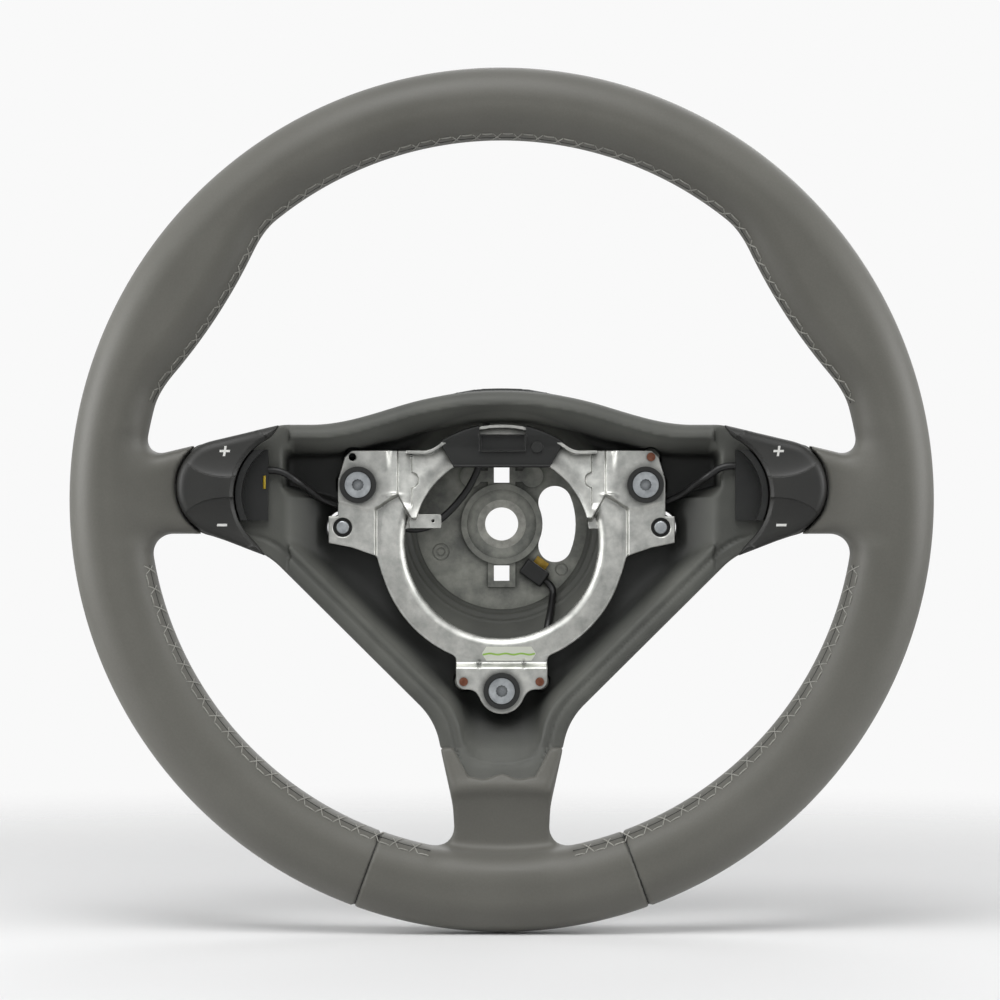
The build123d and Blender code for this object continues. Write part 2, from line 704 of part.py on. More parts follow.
# Moulded foam: the rim's filling, the spokes' necks and the hub surround with its lip and bowl.
with BuildPart() as foam_body:
    add(INNER_FORM)
    with BuildSketch(facing(0, RIM_LIFT)):
        add(bare_plan(ROCKER_GAP))
    extrude(amount=RIM_PLANE + RIM_DEPTH, mode=Mode.SUBTRACT)
    with BuildSketch(facing(FOAM_BACK, RIM_LIFT)):
        add(hub_plan())
    extrude(amount=LIP_FRONT - FOAM_BACK)
    rim_back = RIM_PLANE - RIM_DEPTH / 2
    with BuildSketch(Plane.XY.offset(RIM_LIFT - RIM_R)):
        with BuildLine():
            Polyline(
                (neck[0] + ROCKER_GAP, 0),
                (neck[0] + ROCKER_GAP, -rim_back),
                (BACK_SLOPE_X, -FOAM_BACK),
                (BACK_SLOPE_X, 0),
                close=True,
            )
        make_face()
        mirror(about=Plane.YZ)
    extrude(amount=2 * RIM_R, mode=Mode.SUBTRACT)
    with BuildSketch(Plane.YZ):
        with BuildLine():
            Polyline(
                (0, RIM_LIFT + TONGUE_Z),
                (-rim_back, RIM_LIFT + TONGUE_Z),
                (-FOAM_BACK, RIM_LIFT + BACK_SLOPE_Z),
                (0, RIM_LIFT + BACK_SLOPE_Z),
                close=True,
            )
        make_face()
    extrude(amount=RIM_R, both=True, mode=Mode.SUBTRACT)
    with BuildSketch(facing(POD_SEAT, RIM_LIFT)):
        add(hub_plan())
        Rectangle(2 * TRAY_X, 2 * RIM_R, mode=Mode.SUBTRACT)
    extrude(amount=LIP_FRONT - POD_SEAT, mode=Mode.SUBTRACT)
    with BuildSketch(Plane.XY):
        with BuildLine():
            Polyline(
                (0, -FLOOR_REAR),
                (FLOOR_R + BOWL_LINING + BOWL_COVER, -FLOOR_REAR),
                (cone_in + CONE_WALL + BOWL_COVER, -ARM_FRONT),
                (0, -ARM_FRONT),
                close=True,
            )
        make_face()
    revolve(axis=Axis.Y)
    add(tray_hollow.part, mode=Mode.SUBTRACT)
    with BuildSketch(Plane.XY):
        with BuildLine():
            Polyline(
                (0, 0),
                (FLOOR_R, 0),
                (FLOOR_R, -FLOOR_FRONT),
                (BOWL_TOP_R, -FOAM_FLOOR),
                (0, -FOAM_FLOOR),
                close=True,
            )
        make_face()
    revolve(axis=Axis.Y, mode=Mode.SUBTRACT)
    for x, z in BOLTS:
        cylinder((x, z), POST_R + RUN_GAP, ARM_FRONT, FOAM_FLOOR, Mode.SUBTRACT)
    for x, z in CONTACTS + (SPARE_HOLE,):
        cylinder((x, z), CONTACT_PAD_R + RUN_GAP, ARM_FRONT, FOAM_FLOOR, Mode.SUBTRACT)
    for x, z in EARS:
        cylinder((x, z), SLEEVE_R + SCREW_ROOM, 0, FOAM_FLOOR, Mode.SUBTRACT)
    for x, z in BOLTS:
        cylinder((x, z), BOLT_THREAD_R, POST_TOP - BOLT_THREAD_L, FOAM_FLOOR, Mode.SUBTRACT)
    for x, z in POD_SCREWS:
        for side in (1, -1):
            cylinder((side * x, RIM_LIFT + z), POD_SCREW_R, POD_SCREW_END, POD_SEAT, Mode.SUBTRACT)
    add(hub_casting.part, mode=Mode.SUBTRACT)
    for piece in (rim_core.part, left_pod_lead, right_pod_lead, ground_lead):
        add(piece, mode=Mode.SUBTRACT)
save(foam_body.part, "foam_body")

# Stamped plate: ring with two arms, ears, a lower tab and a turned-up edge at the top.
with BuildPart() as horn_plate:
    with BuildSketch(facing(PLATE_BACK)) as blank:
        with Locations((0, PLATE_Z)):
            Circle(PLATE_R)
        with Locations((0, PLATE_Z)):
            Rectangle(4 * PLATE_R, 2 * PLATE_R, align=(Align.CENTER, Align.MIN), mode=Mode.SUBTRACT)
        with Locations((0, PLATE_TOP_Z)):
            Circle(PLATE_TOP_R)
        with BuildLine():
            Polyline(*PLATE_ARM, close=True)
        make_face()
        fillet([corner(blank, *point) for point in PLATE_ARM[6:8]], EAR_CORNER)
        mirror(about=Plane.YZ)
        with Locations((0, TAB_Z)):
            Rectangle(TAB_W, TAB_L, align=(Align.CENTER, Align.MIN))
        with Locations(FOOT_BOLT):
            Circle(TAB_LOBE_R)
        with Locations((0, PLATE_Z)):
            Circle(PLATE_TOP_OPEN_R, mode=Mode.SUBTRACT)
        with BuildSketch(mode=Mode.PRIVATE) as low_open:
            with Locations((0, PLATE_Z)):
                Circle(PLATE_OPEN_R)
                Rectangle(4 * PLATE_R, 2 * PLATE_R, align=(Align.CENTER, Align.MIN), mode=Mode.SUBTRACT)
        add(low_open.sketch, mode=Mode.SUBTRACT)
        with Locations(*BOLTS):
            Circle(BUSH_NECK_R, mode=Mode.SUBTRACT)
        with Locations(*EARS):
            Circle(EAR_HOLE_R, mode=Mode.SUBTRACT)
        with Locations(*CONTACTS, SPARE_HOLE):
            Circle(CONTACT_SHANK_R, mode=Mode.SUBTRACT)
    extrude(amount=PLATE_T)
    with BuildSketch(facing(PLATE_FRONT)):
        with Locations((0, PLATE_TOP_Z)):
            Circle(PLATE_TOP_R)
            Circle(PLATE_TOP_R - PLATE_FLANGE_T, mode=Mode.SUBTRACT)
        with Locations((0, FLANGE_FOOT_Z)):
            Rectangle(4 * PLATE_R, 4 * PLATE_R, align=(Align.CENTER, Align.MAX), mode=Mode.SUBTRACT)
    extrude(amount=PLATE_FLANGE)
    with BuildSketch(facing(PLATE_BACK)):
        with Locations((SPADE_END, SPADE_Z)):
            Rectangle(PLATE_R + SPADE_END, SPADE_W, align=(Align.MAX, Align.CENTER))
        with Locations((SPADE_END - SPADE_HOLE_IN, SPADE_Z)):
            Circle(SPADE_HOLE, mode=Mode.SUBTRACT)
    extrude(amount=SPADE_T)
save(horn_plate.part, "horn_plate")

with BuildPart() as horn_bolts:
    for place in BOLTS:
        cylinder(place, BOLT_HEAD_R, HEAD_SEAT, HEAD_SEAT + BOLT_HEAD_H)
        cylinder(place, BOLT_SHOULDER_R, POST_TOP, HEAD_SEAT)
        cylinder(place, BOLT_THREAD_R, POST_TOP - BOLT_THREAD_L, POST_TOP)
        with BuildSketch(facing(HEAD_SEAT + BOLT_HEAD_H / 3)):
            with Locations(place):
                RegularPolygon(TORX_R, 6)
                RegularPolygon(TORX_R, 6, rotation=30)
        extrude(amount=BOLT_HEAD_H, mode=Mode.SUBTRACT)
save(horn_bolts.part, "horn_bolts")

with BuildPart() as horn_bushes:
    for place in BOLTS:
        cylinder(place, COLLAR_R, PLATE_FRONT, PLATE_FRONT + COLLAR_H)
        cylinder(place, BUSH_NECK_R, PLATE_BACK - COLLAR_FLOOR, PLATE_FRONT)
        cylinder(place, BOLT_HEAD_R + RUN_GAP, HEAD_SEAT, PLATE_FRONT + COLLAR_H, Mode.SUBTRACT)
        cylinder(place, BOLT_SHOULDER_R + RUN_GAP, PLATE_BACK - COLLAR_FLOOR, HEAD_SEAT, Mode.SUBTRACT)
save(horn_bushes.part, "horn_bushes")

spring_r = BOLT_SHOULDER_R + RUN_GAP + SPRING_WIRE
spring_low = POST_TOP + SPRING_WIRE / 2
spring_high = PLATE_BACK - COLLAR_FLOOR - SPRING_WIRE / 2
with BuildPart() as horn_springs:
    for x, z in BOLTS:
        rise = spring_high - spring_low
        with BuildLine() as coil:
            Helix(rise / SPRING_TURNS, rise, spring_r, center=(x, -spring_low, z), direction=(0, -1, 0))
        with BuildSketch(Plane(origin=coil.line @ 0, z_dir=coil.line % 0)):
            Circle(SPRING_WIRE / 2)
        sweep(path=coil.line, is_frenet=True)
save(horn_springs.part, "horn_springs")

with BuildPart() as horn_contacts:
    for place in CONTACTS:
        cylinder(place, CONTACT_HEAD_R, PLATE_FRONT, PLATE_FRONT + CONTACT_SHANK_R)
        cylinder(place, CONTACT_SHANK_R, PLATE_BACK, PLATE_FRONT)
        cylinder(place, CONTACT_TIP_R, PLATE_BACK - CONTACT_TIP, PLATE_BACK)
save(horn_contacts.part, "horn_contacts")

with BuildPart() as screw_sleeves:
    for place in EARS:
        cylinder(place, SLEEVE_R, PLATE_BACK - SLEEVE_L, PLATE_BACK)
        cylinder(place, SCREW_R, PLATE_BACK - SLEEVE_L, PLATE_BACK, Mode.SUBTRACT)
save(screw_sleeves.part, "screw_sleeves")

with BuildPart() as airbag_screws:
    for place in EARS:
        seat = PLATE_BACK - SLEEVE_L
        cylinder(place, SCREW_R, seat, PLATE_FRONT - SCREW_SHY)
        cylinder(place, SCREW_HEAD_R, seat - SCREW_HEAD_H, seat)
        with BuildSketch(facing(seat - SCREW_HEAD_H)):
            with Locations(place):
                RegularPolygon(TORX_R, 6)
                RegularPolygon(TORX_R, 6, rotation=30)
        extrude(amount=SCREW_HEAD_H / 2, mode=Mode.SUBTRACT)
    fillet(airbag_screws.faces().sort_by(Axis.Y)[:2].edges(), SCREW_R / 4)
save(airbag_screws.part, "airbag_screws")

# Black bridge that clips over the plate's top, with a window over the turned-up edge.
with BuildPart() as contact_bridge:
    with BuildSketch(facing(PLATE_FRONT)):
        with Locations((0, PLATE_TOP_Z)):
            Circle(BRIDGE_R)
        with Locations((0, BRIDGE_FOOT_Z)):
            Rectangle(BRIDGE_W, BRIDGE_R, align=(Align.CENTER, Align.MIN), mode=Mode.INTERSECT)
    extrude(amount=BRIDGE_T)
    fillet(contact_bridge.faces().sort_by(Axis.Y)[0].edges(), BRIDGE_EDGE)
    with BuildSketch(facing(PLATE_FRONT)):
        with Locations((0, PLATE_TOP_Z)):
            Circle(PLATE_TOP_R + PIN_GAP)
            Circle(PLATE_TOP_R - PLATE_FLANGE_T - PIN_GAP, mode=Mode.SUBTRACT)
    extrude(amount=PLATE_FLANGE + PIN_GAP, mode=Mode.SUBTRACT)
    with BuildSketch(facing(PLATE_FRONT)):
        with Locations((0, PLATE_TOP_Z + PLATE_TOP_R - BRIDGE_WINDOW_Z)):
            Rectangle(BRIDGE_WINDOW, BRIDGE_R, align=(Align.CENTER, Align.MIN))
    extrude(amount=BRIDGE_T, mode=Mode.SUBTRACT)
    with BuildSketch(facing(PLATE_BACK - BRIDGE_HOOK)):
        with Locations((BRIDGE_HOOK_X, 0), (-BRIDGE_HOOK_X, 0)):
            Rectangle(BRIDGE_HOOK_W, BRIDGE_R * 2, align=(Align.CENTER, Align.MIN))
        with Locations((0, PLATE_TOP_Z)):
            Circle(BRIDGE_R, mode=Mode.INTERSECT)
            Circle(PLATE_TOP_R + PIN_GAP, mode=Mode.SUBTRACT)
    extrude(amount=PLATE_T + BRIDGE_HOOK + BRIDGE_T / 2)
    with BuildSketch(facing(PLATE_BACK - BRIDGE_HOOK)):
        with Locations((BRIDGE_HOOK_X, 0), (-BRIDGE_HOOK_X, 0)):
            Rectangle(BRIDGE_HOOK_W, BRIDGE_R * 2, align=(Align.CENTER, Align.MIN))
        with Locations((0, PLATE_TOP_Z)):
            Circle(BRIDGE_R, mode=Mode.INTERSECT)
            Circle(PLATE_TOP_R - BRIDGE_HOOK, mode=Mode.SUBTRACT)
    extrude(amount=BRIDGE_HOOK)
save(contact_bridge.part, "contact_bridge")


def rocker_plan(inset=0.0):
    """Right-hand rocker's outline: round towards the rim, hollowed towards the hub."""
    top, low = [
        (ROCKER_X + ROCKER_R * cos(radians(angle)), ROCKER_Z + ROCKER_R * sin(radians(angle)))
        for angle in ROCKER_ANGLES
    ]
    with BuildSketch() as plan:
        with BuildLine():
            Polyline(top, *ROCKER_TIP)
            ThreePointArc(ROCKER_TIP[1], ROCKER_WAIST, ROCKER_HEEL[0])
            Polyline(*ROCKER_HEEL, low)
            ThreePointArc(low, (ROCKER_X + ROCKER_R, ROCKER_Z), top)
        make_face()
        fillet(plan.vertices(), ROCKER_CORNER)
        if inset:
            offset(amount=-inset)
    return plan.sketch


pivot_z = RIM_LIFT + ROCKER_Z
roof = ROCKER_FRONT - DISH_DEPTH - ROCKER_WALL
base_top = POD_SEAT + BASE_T
dome_low = base_top + BOARD_T

# Rocker: a thin cap with two finger dishes, a hinge rib and two pegs over the rubber domes.
with BuildPart() as right_shift_rocker:
    with BuildSketch(facing(ROCKER_BACK, RIM_LIFT)):
        add(rocker_plan())
    extrude(amount=ROCKER_FRONT - ROCKER_BACK)
    fillet(right_shift_rocker.faces().sort_by(Axis.Y)[0].edges(), ROCKER_EDGE)
    for up in (1, -1):
        with Locations((DISH_X, -(ROCKER_FRONT + DISH_R - DISH_DEPTH), pivot_z + up * DISH_PITCH / 2)):
            Sphere(DISH_R, mode=Mode.SUBTRACT)
    with BuildSketch(facing(ROCKER_BACK, RIM_LIFT)):
        add(rocker_plan(ROCKER_WALL))
    extrude(amount=roof - ROCKER_BACK, mode=Mode.SUBTRACT)
    rib_low = LUG_INNER_X + LUG_T + RIB_GAP
    rib_high = LUG_OUTER_X - RIB_GAP
    with BuildSketch(Plane.YZ.offset(rib_low)):
        with Locations((-PIVOT_H, pivot_z)):
            Circle(RIB_R)
            Rectangle(roof - PIVOT_H, 2 * RIB_R, align=(Align.MAX, Align.CENTER))
            Circle(PIN_R + PIN_GAP, mode=Mode.SUBTRACT)
    extrude(amount=rib_high - rib_low)
    for up in (1, -1):
        cylinder((DOME_X, pivot_z + up * DOME_Z), PEG_R, dome_low + DOME_H + RUN_GAP, roof)

# Holder: floor on the spoke, hinge lugs, the curved screen behind the cap and a shelf towards the hub.
with BuildPart() as right_pod_base:
    with BuildSketch(facing(POD_SEAT, RIM_LIFT)):
        add(rocker_plan(BASE_INSET))
        with BuildSketch(mode=Mode.PRIVATE) as shelf:
            with Locations((HOLDER_X, sum(HOLDER_Z) / 2)):
                Rectangle(DOME_X - HOLDER_X, HOLDER_Z[1] - HOLDER_Z[0], align=(Align.MIN, Align.CENTER))
        add(shelf.sketch)
    extrude(amount=BASE_T)
    with BuildSketch(facing(base_top, RIM_LIFT)):
        add(shelf.sketch)
        add(rocker_plan(-ROCKER_GAP), mode=Mode.SUBTRACT)
        with BuildSketch(mode=Mode.PRIVATE) as behind:
            add(rocker_plan(-ROCKER_GAP - SCREEN_T))
        add(behind.sketch, mode=Mode.INTERSECT)
    extrude(amount=SCREEN_TOP - base_top)
    for x in (LUG_INNER_X, LUG_OUTER_X):
        with BuildSketch(Plane.YZ.offset(x)):
            with Locations((-PIVOT_H, pivot_z)):
                Circle(LUG_R)
                Rectangle(PIVOT_H - base_top, 2 * LUG_R, align=(Align.MIN, Align.CENTER))
                Circle(PIN_R, mode=Mode.SUBTRACT)
        extrude(amount=LUG_T)
    for x, z in POD_SCREWS:
        cylinder((x, RIM_LIFT + z), POD_SCREW_R, POD_SEAT, base_top, Mode.SUBTRACT)

with BuildPart() as right_rocker_pin:
    with BuildSketch(Plane.YZ.offset(LUG_INNER_X)):
        with Locations((-PIVOT_H, pivot_z)):
            Circle(PIN_R)
    extrude(amount=LUG_OUTER_X + LUG_T - LUG_INNER_X)

with BuildPart() as right_switch_board:
    with BuildSketch(facing(base_top, RIM_LIFT)):
        with Locations((BOARD_X[0], BOARD_Z[0])):
            Rectangle(BOARD_X[1] - BOARD_X[0], BOARD_Z[1] - BOARD_Z[0], align=(Align.MIN, Align.MIN))
    extrude(amount=BOARD_T)

with BuildPart() as right_switch_domes:
    for up in (1, -1):
        with Locations(Location((DOME_X, -dome_low, pivot_z + up * DOME_Z), (90, 0, 0))):
            Cone(DOME_R, DOME_TOP_R, DOME_H, align=(Align.CENTER, Align.CENTER, Align.MIN))

with BuildPart() as right_pod_screws:
    for x, z in POD_SCREWS:
        place = (x, RIM_LIFT + z)
        head_top = base_top + POD_SCREW_HEAD_H
        cylinder(place, POD_SCREW_R, POD_SCREW_END, base_top)
        cylinder(place, POD_SCREW_HEAD_R, base_top, head_top)
        cylinder(place, POD_SCREW_R / 2, base_top + POD_SCREW_HEAD_H / 2, head_top, Mode.SUBTRACT)

for piece, name in (
    (right_shift_rocker, "shift_rocker"),
    (right_pod_base, "pod_base"),
    (right_rocker_pin, "rocker_pin"),
    (right_switch_board, "switch_board"),
    (right_switch_domes, "switch_domes"),
    (right_pod_screws, "pod_screws"),
):
    save(piece.part, f"right_{name}")
    save(mirror(piece.part, about=Plane.YZ), f"left_{name}")

with BuildPart() as ground_tab:
    with BuildSketch(facing(FLOOR_FRONT)):
        with Locations(TAB_PLACE):
            Rectangle(*TAB_SIZE, rotation=CONNECTOR_TURN)
    extrude(amount=TAB_T)
save(ground_tab.part, "ground_tab")

with BuildPart() as ground_connector:
    with BuildSketch(facing(FLOOR_FRONT)):
        with Locations(CONNECTOR_PLACE):
            RectangleRounded(*CONNECTOR_SIZE, radius=CONNECTOR_T / 6, rotation=CONNECTOR_TURN)
    extrude(amount=CONNECTOR_T)
    fillet(ground_connector.faces().sort_by(Axis.Y)[0].edges(), CONNECTOR_T / 6)
    add(ground_tab.part, mode=Mode.SUBTRACT)
save(ground_connector.part, "ground_connector")
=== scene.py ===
# %% [markdown]
# # A car steering wheel with its air bag taken off
# The wheel stands on a pale floor and is seen straight on, as the driver sees it.
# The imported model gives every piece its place: the steering axis is Y, the driver sits at -Y
# and Z is up. Lengths in the shape functions are millimetres, because that is how a wheel
# maker would write them, and they turn into metres when a mesh is made.

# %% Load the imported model
from math import cos, pi, radians, sin, sqrt

import bpy
import numpy as np
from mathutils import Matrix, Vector


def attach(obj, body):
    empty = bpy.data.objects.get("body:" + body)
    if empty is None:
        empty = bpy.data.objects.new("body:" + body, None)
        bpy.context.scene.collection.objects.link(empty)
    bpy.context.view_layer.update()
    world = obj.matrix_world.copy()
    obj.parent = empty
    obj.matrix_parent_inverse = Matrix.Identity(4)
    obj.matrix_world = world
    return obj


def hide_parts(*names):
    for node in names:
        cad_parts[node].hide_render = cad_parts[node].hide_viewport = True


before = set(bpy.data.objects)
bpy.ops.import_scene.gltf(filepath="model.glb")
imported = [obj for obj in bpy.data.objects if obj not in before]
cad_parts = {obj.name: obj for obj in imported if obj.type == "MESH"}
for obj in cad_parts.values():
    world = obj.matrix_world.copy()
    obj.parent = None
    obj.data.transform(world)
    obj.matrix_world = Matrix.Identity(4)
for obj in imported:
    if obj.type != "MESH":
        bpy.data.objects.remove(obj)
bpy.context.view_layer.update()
MM = 0.001

# %% [markdown]
# ## Camera
# The photograph is taken straight on from about 1.7 m. The rim's circle is 864 pixels wide in a
# 1000 pixel frame, which fixes the lens. A long lens keeps the perspective as flat as it is there.

# %% Camera
RIM_DIAMETER = 380.0
RIM_PLANE = 66.0
RIM_LIFT = 11.0
FRAME_MM = 439.8
CAMERA_AWAY = 1700.0
CAMERA_OFF = (-0.75, -0.13)
camera_data = bpy.data.cameras.new("camera")
camera_data.sensor_width = 36.0
camera_data.lens = camera_data.sensor_width * CAMERA_AWAY / FRAME_MM
camera = bpy.data.objects.new("camera", camera_data)
camera.location = (CAMERA_OFF[0] * MM, -(CAMERA_AWAY + RIM_PLANE) * MM, (RIM_LIFT + CAMERA_OFF[1]) * MM)
camera.rotation_euler = (radians(90), 0, 0)
bpy.context.scene.collection.objects.link(camera)
bpy.context.scene.camera = camera
print("lens", round(camera_data.lens, 1), "mm")

# %% [markdown]
# ## Node helper and colours
# Every finish below is a small graph of shader nodes. One function adds a node, sets its sockets
# and joins it to earlier nodes. Colours are written as sRGB hex and turned to linear once.

# %% Node helper
def linear(code):
    """Linear colour with alpha from an sRGB hex code."""
    parts = [int(code[i:i + 2], 16) / 255 for i in (0, 2, 4)]
    return tuple(c / 12.92 if c <= 0.04045 else ((c + 0.055) / 1.055) ** 2.4 for c in parts) + (1.0,)


def add(material, kind, settings=None, links=None, stops=()):
    """Add one shader node; settings go to its sockets or attributes, stops to its colour ramp."""
    made = material.node_tree.nodes.new(kind)
    for key, value in (settings or {}).items():
        if isinstance(key, int) or key in made.inputs:
            made.inputs[key].default_value = value
        else:
            setattr(made, key, value)
    for key, source in (links or {}).items():
        material.node_tree.links.new(source, made.inputs[key])
    for i, (at, code) in enumerate(stops):
        made.color_ramp.elements[i].position = at
        made.color_ramp.elements[i].color = linear(code)
    return made


def finish(name, **sockets):
    """A named material with its surface shader, whose plain values are set on the sockets."""
    material = bpy.data.materials.new(name)
    material.use_nodes = True
    shader = material.node_tree.nodes["Principled BSDF"]
    for key, value in sockets.items():
        shader.inputs[key.replace("_", " ")].default_value = value
    place = add(material, "ShaderNodeTexCoord").outputs["Object"]
    return material, shader, place


def join(material, source, shader, socket):
    """Link an output to a socket of the surface shader."""
    material.node_tree.links.new(source, shader.inputs[socket])


def per_mm(size):
    """Texture scale that gives a pattern of about this many millimetres."""
    return 1000.0 / size


# %% [markdown]
# ## Leather
# The rim is wrapped in smooth nappa: dyed grey, lightly embossed with a fine pebble grain and
# sealed with a satin topcoat. The eye sees an even grey with soft broad highlights and only a hint
# of grain. Voronoi cells give the pebbles, finer noise gives pores, and a slow noise varies the dye.

# %% Leather finish
LEATHER_HEX = ("56554f", "62615b")
DYE_STOPS = (0.45, 0.95)
LEATHER_ROUGH = (0.46, 0.58)
GRAIN_MM = 1.3
PORE_MM = 0.45
DYE_MM = 55.0
leather, shader, place = finish("nappa_leather", IOR=1.48, Sheen_Weight=0.10, Sheen_Roughness=0.5)
dye = add(leather, "ShaderNodeTexNoise", {"Scale": per_mm(DYE_MM), "Detail": 3.0}, {"Vector": place})
fleck = add(leather, "ShaderNodeTexNoise", {"Scale": per_mm(PORE_MM * 2), "Detail": 2.0}, {"Vector": place})
blend = add(
    leather, "ShaderNodeMath", {"operation": "MULTIPLY_ADD", 1: 0.35},
    {0: fleck.outputs["Fac"], 2: dye.outputs["Fac"]})
colour = add(leather, "ShaderNodeValToRGB", links={"Fac": blend.outputs[0]}, stops=zip(DYE_STOPS, LEATHER_HEX))
join(leather, colour.outputs["Color"], shader, "Base Color")
pebble = add(
    leather, "ShaderNodeTexVoronoi", {"feature": "DISTANCE_TO_EDGE", "Scale": per_mm(GRAIN_MM)},
    {"Vector": place})
crest = add(leather, "ShaderNodeMath", {"operation": "MINIMUM", 1: 0.22}, {0: pebble.outputs["Distance"]})
pore = add(leather, "ShaderNodeTexNoise", {"Scale": per_mm(PORE_MM), "Detail": 2.0}, {"Vector": place})
grain = add(
    leather, "ShaderNodeMath", {"operation": "MULTIPLY_ADD", 1: 0.12},
    {0: pore.outputs["Fac"], 2: crest.outputs[0]})
bump = add(leather, "ShaderNodeBump", {"Strength": 0.16, "Distance": 0.0002}, {"Height": grain.outputs[0]})
join(leather, bump.outputs["Normal"], shader, "Normal")
gloss = add(
    leather, "ShaderNodeMapRange", {"To Min": LEATHER_ROUGH[0], "To Max": LEATHER_ROUGH[1]},
    {"Value": dye.outputs["Fac"]})
join(leather, gloss.outputs["Result"], shader, "Roughness")

# %% [markdown]
# ## Moulded foam
# The hub surround is self-skinning polyurethane foam. Its skin is dull and even, copies the
# mould's fine grain, and looks a little greener and flatter than the leather beside it. The paint
# that matches it to the leather stops inside the tray, and with depth the colour falls to a dark
# that is partly bare foam and partly painted shade, where the lip keeps the light out of the tray.
# The bowl around the hub is coated again.

# %% Foam finish
FOAM_HEX = ("4c4d49", "5a5b56")
STAIN_STOPS = (0.32, 0.7)
FOAM_ROUGH = (0.5, 0.68)
# The dark the foam falls to with depth: partly bare foam, partly painted shade in the tray.
BARE_FOAM_AND_SHADE_HEX = "1f201e"
PAINT_AND_SHADE_MM = (45.0, 58.0)
BOWL_MM = (50.0, 54.0)
MOULD_GRAIN_MM = 0.9
STAIN_MM = 24.0
foam, shader, place = finish("moulded_polyurethane_foam", IOR=1.46)
stain = add(foam, "ShaderNodeTexNoise", {"Scale": per_mm(STAIN_MM), "Detail": 5.0}, {"Vector": place})
colour = add(foam, "ShaderNodeValToRGB", links={"Fac": stain.outputs["Fac"]}, stops=zip(STAIN_STOPS, FOAM_HEX))
across = add(foam, "ShaderNodeSeparateXYZ", links={0: place})
front = add(
    foam, "ShaderNodeMapRange", {"From Min": -PAINT_AND_SHADE_MM[0] * MM, "From Max": -PAINT_AND_SHADE_MM[1] * MM},
    {"Value": across.outputs["Y"]})
plan = add(foam, "ShaderNodeVectorMath", {"operation": "MULTIPLY", 1: (1, 0, 1)}, {0: place})
span = add(foam, "ShaderNodeVectorMath", {"operation": "LENGTH"}, {0: plan.outputs[0]}).outputs["Value"]
bowl = add(
    foam, "ShaderNodeMapRange", {"From Min": BOWL_MM[1] * MM, "From Max": BOWL_MM[0] * MM}, {"Value": span})
# Mask of the skin colour: with depth it gives way to the dark of bare foam and painted shade.
coated_and_lit = add(
    foam, "ShaderNodeMath", {"operation": "MAXIMUM"},
    {0: front.outputs["Result"], 1: bowl.outputs["Result"]})
coat_and_shade = add(
    foam, "ShaderNodeMix", {"data_type": "RGBA", 6: linear(BARE_FOAM_AND_SHADE_HEX)},
    {0: coated_and_lit.outputs[0], 7: colour.outputs["Color"]})
join(foam, coat_and_shade.outputs[2], shader, "Base Color")
mould = add(foam, "ShaderNodeTexNoise", {"Scale": per_mm(MOULD_GRAIN_MM), "Detail": 3.0}, {"Vector": place})
bump = add(foam, "ShaderNodeBump", {"Strength": 0.2, "Distance": 0.0003}, {"Height": mould.outputs["Fac"]})
join(foam, bump.outputs["Normal"], shader, "Normal")
gloss = add(
    foam, "ShaderNodeMapRange", {"To Min": FOAM_ROUGH[0], "To Max": FOAM_ROUGH[1]},
    {"Value": stain.outputs["Fac"]})
join(foam, gloss.outputs["Result"], shader, "Roughness")

# %% [markdown]
# ## Metals
# The horn plate is pressed zinc-plated steel: bright, with a cloudy bloom.
# The hub is die-cast aluminium, duller and greyer with flow marks. Bolts are zinc-plated too,
# rivets are copper and the earth blade is brass. Each is full metal with the default IOR. A noise
# moves the roughness so that the highlights break up, and an occlusion node darkens the colour in
# corners and recesses: painted shade where little light reaches.

# %% Metal finishes
# How far the painted shade in corners and recesses reaches.
CORNER_SHADE_MM = 3.0
BLOOM_STOPS = (0.34, 0.68)


def metal(name, dark, light, bloom_mm, rough, bump_mm, bump_strength):
    """A metal with a cloudy bloom in colour and roughness, painted corner shade and a fine relief."""
    material, shader, place = finish(name, Metallic=1.0)
    bloom = add(
        material, "ShaderNodeTexNoise", {"Scale": per_mm(bloom_mm), "Detail": 6.0, "Roughness": 0.62},
        {"Vector": place})
    stops = zip(BLOOM_STOPS, (dark, light))
    colour = add(material, "ShaderNodeValToRGB", links={"Fac": bloom.outputs["Fac"]}, stops=stops)
    # Occlusion darkens the base colour in corners and recesses: painted shade.
    corner_shade = add(
        material, "ShaderNodeAmbientOcclusion", {"samples": 6, "Distance": CORNER_SHADE_MM * MM},
        {"Color": colour.outputs["Color"]})
    join(material, corner_shade.outputs["Color"], shader, "Base Color")
    gloss = add(
        material, "ShaderNodeMapRange", {"To Min": rough[0], "To Max": rough[1]},
        {"Value": bloom.outputs["Fac"]})
    join(material, gloss.outputs["Result"], shader, "Roughness")
    relief = add(material, "ShaderNodeTexNoise", {"Scale": per_mm(bump_mm), "Detail": 3.0}, {"Vector": place})
    bump = add(
        material, "ShaderNodeBump", {"Strength": bump_strength, "Distance": 0.0002},
        {"Height": relief.outputs["Fac"]})
    join(material, bump.outputs["Normal"], shader, "Normal")
    return material


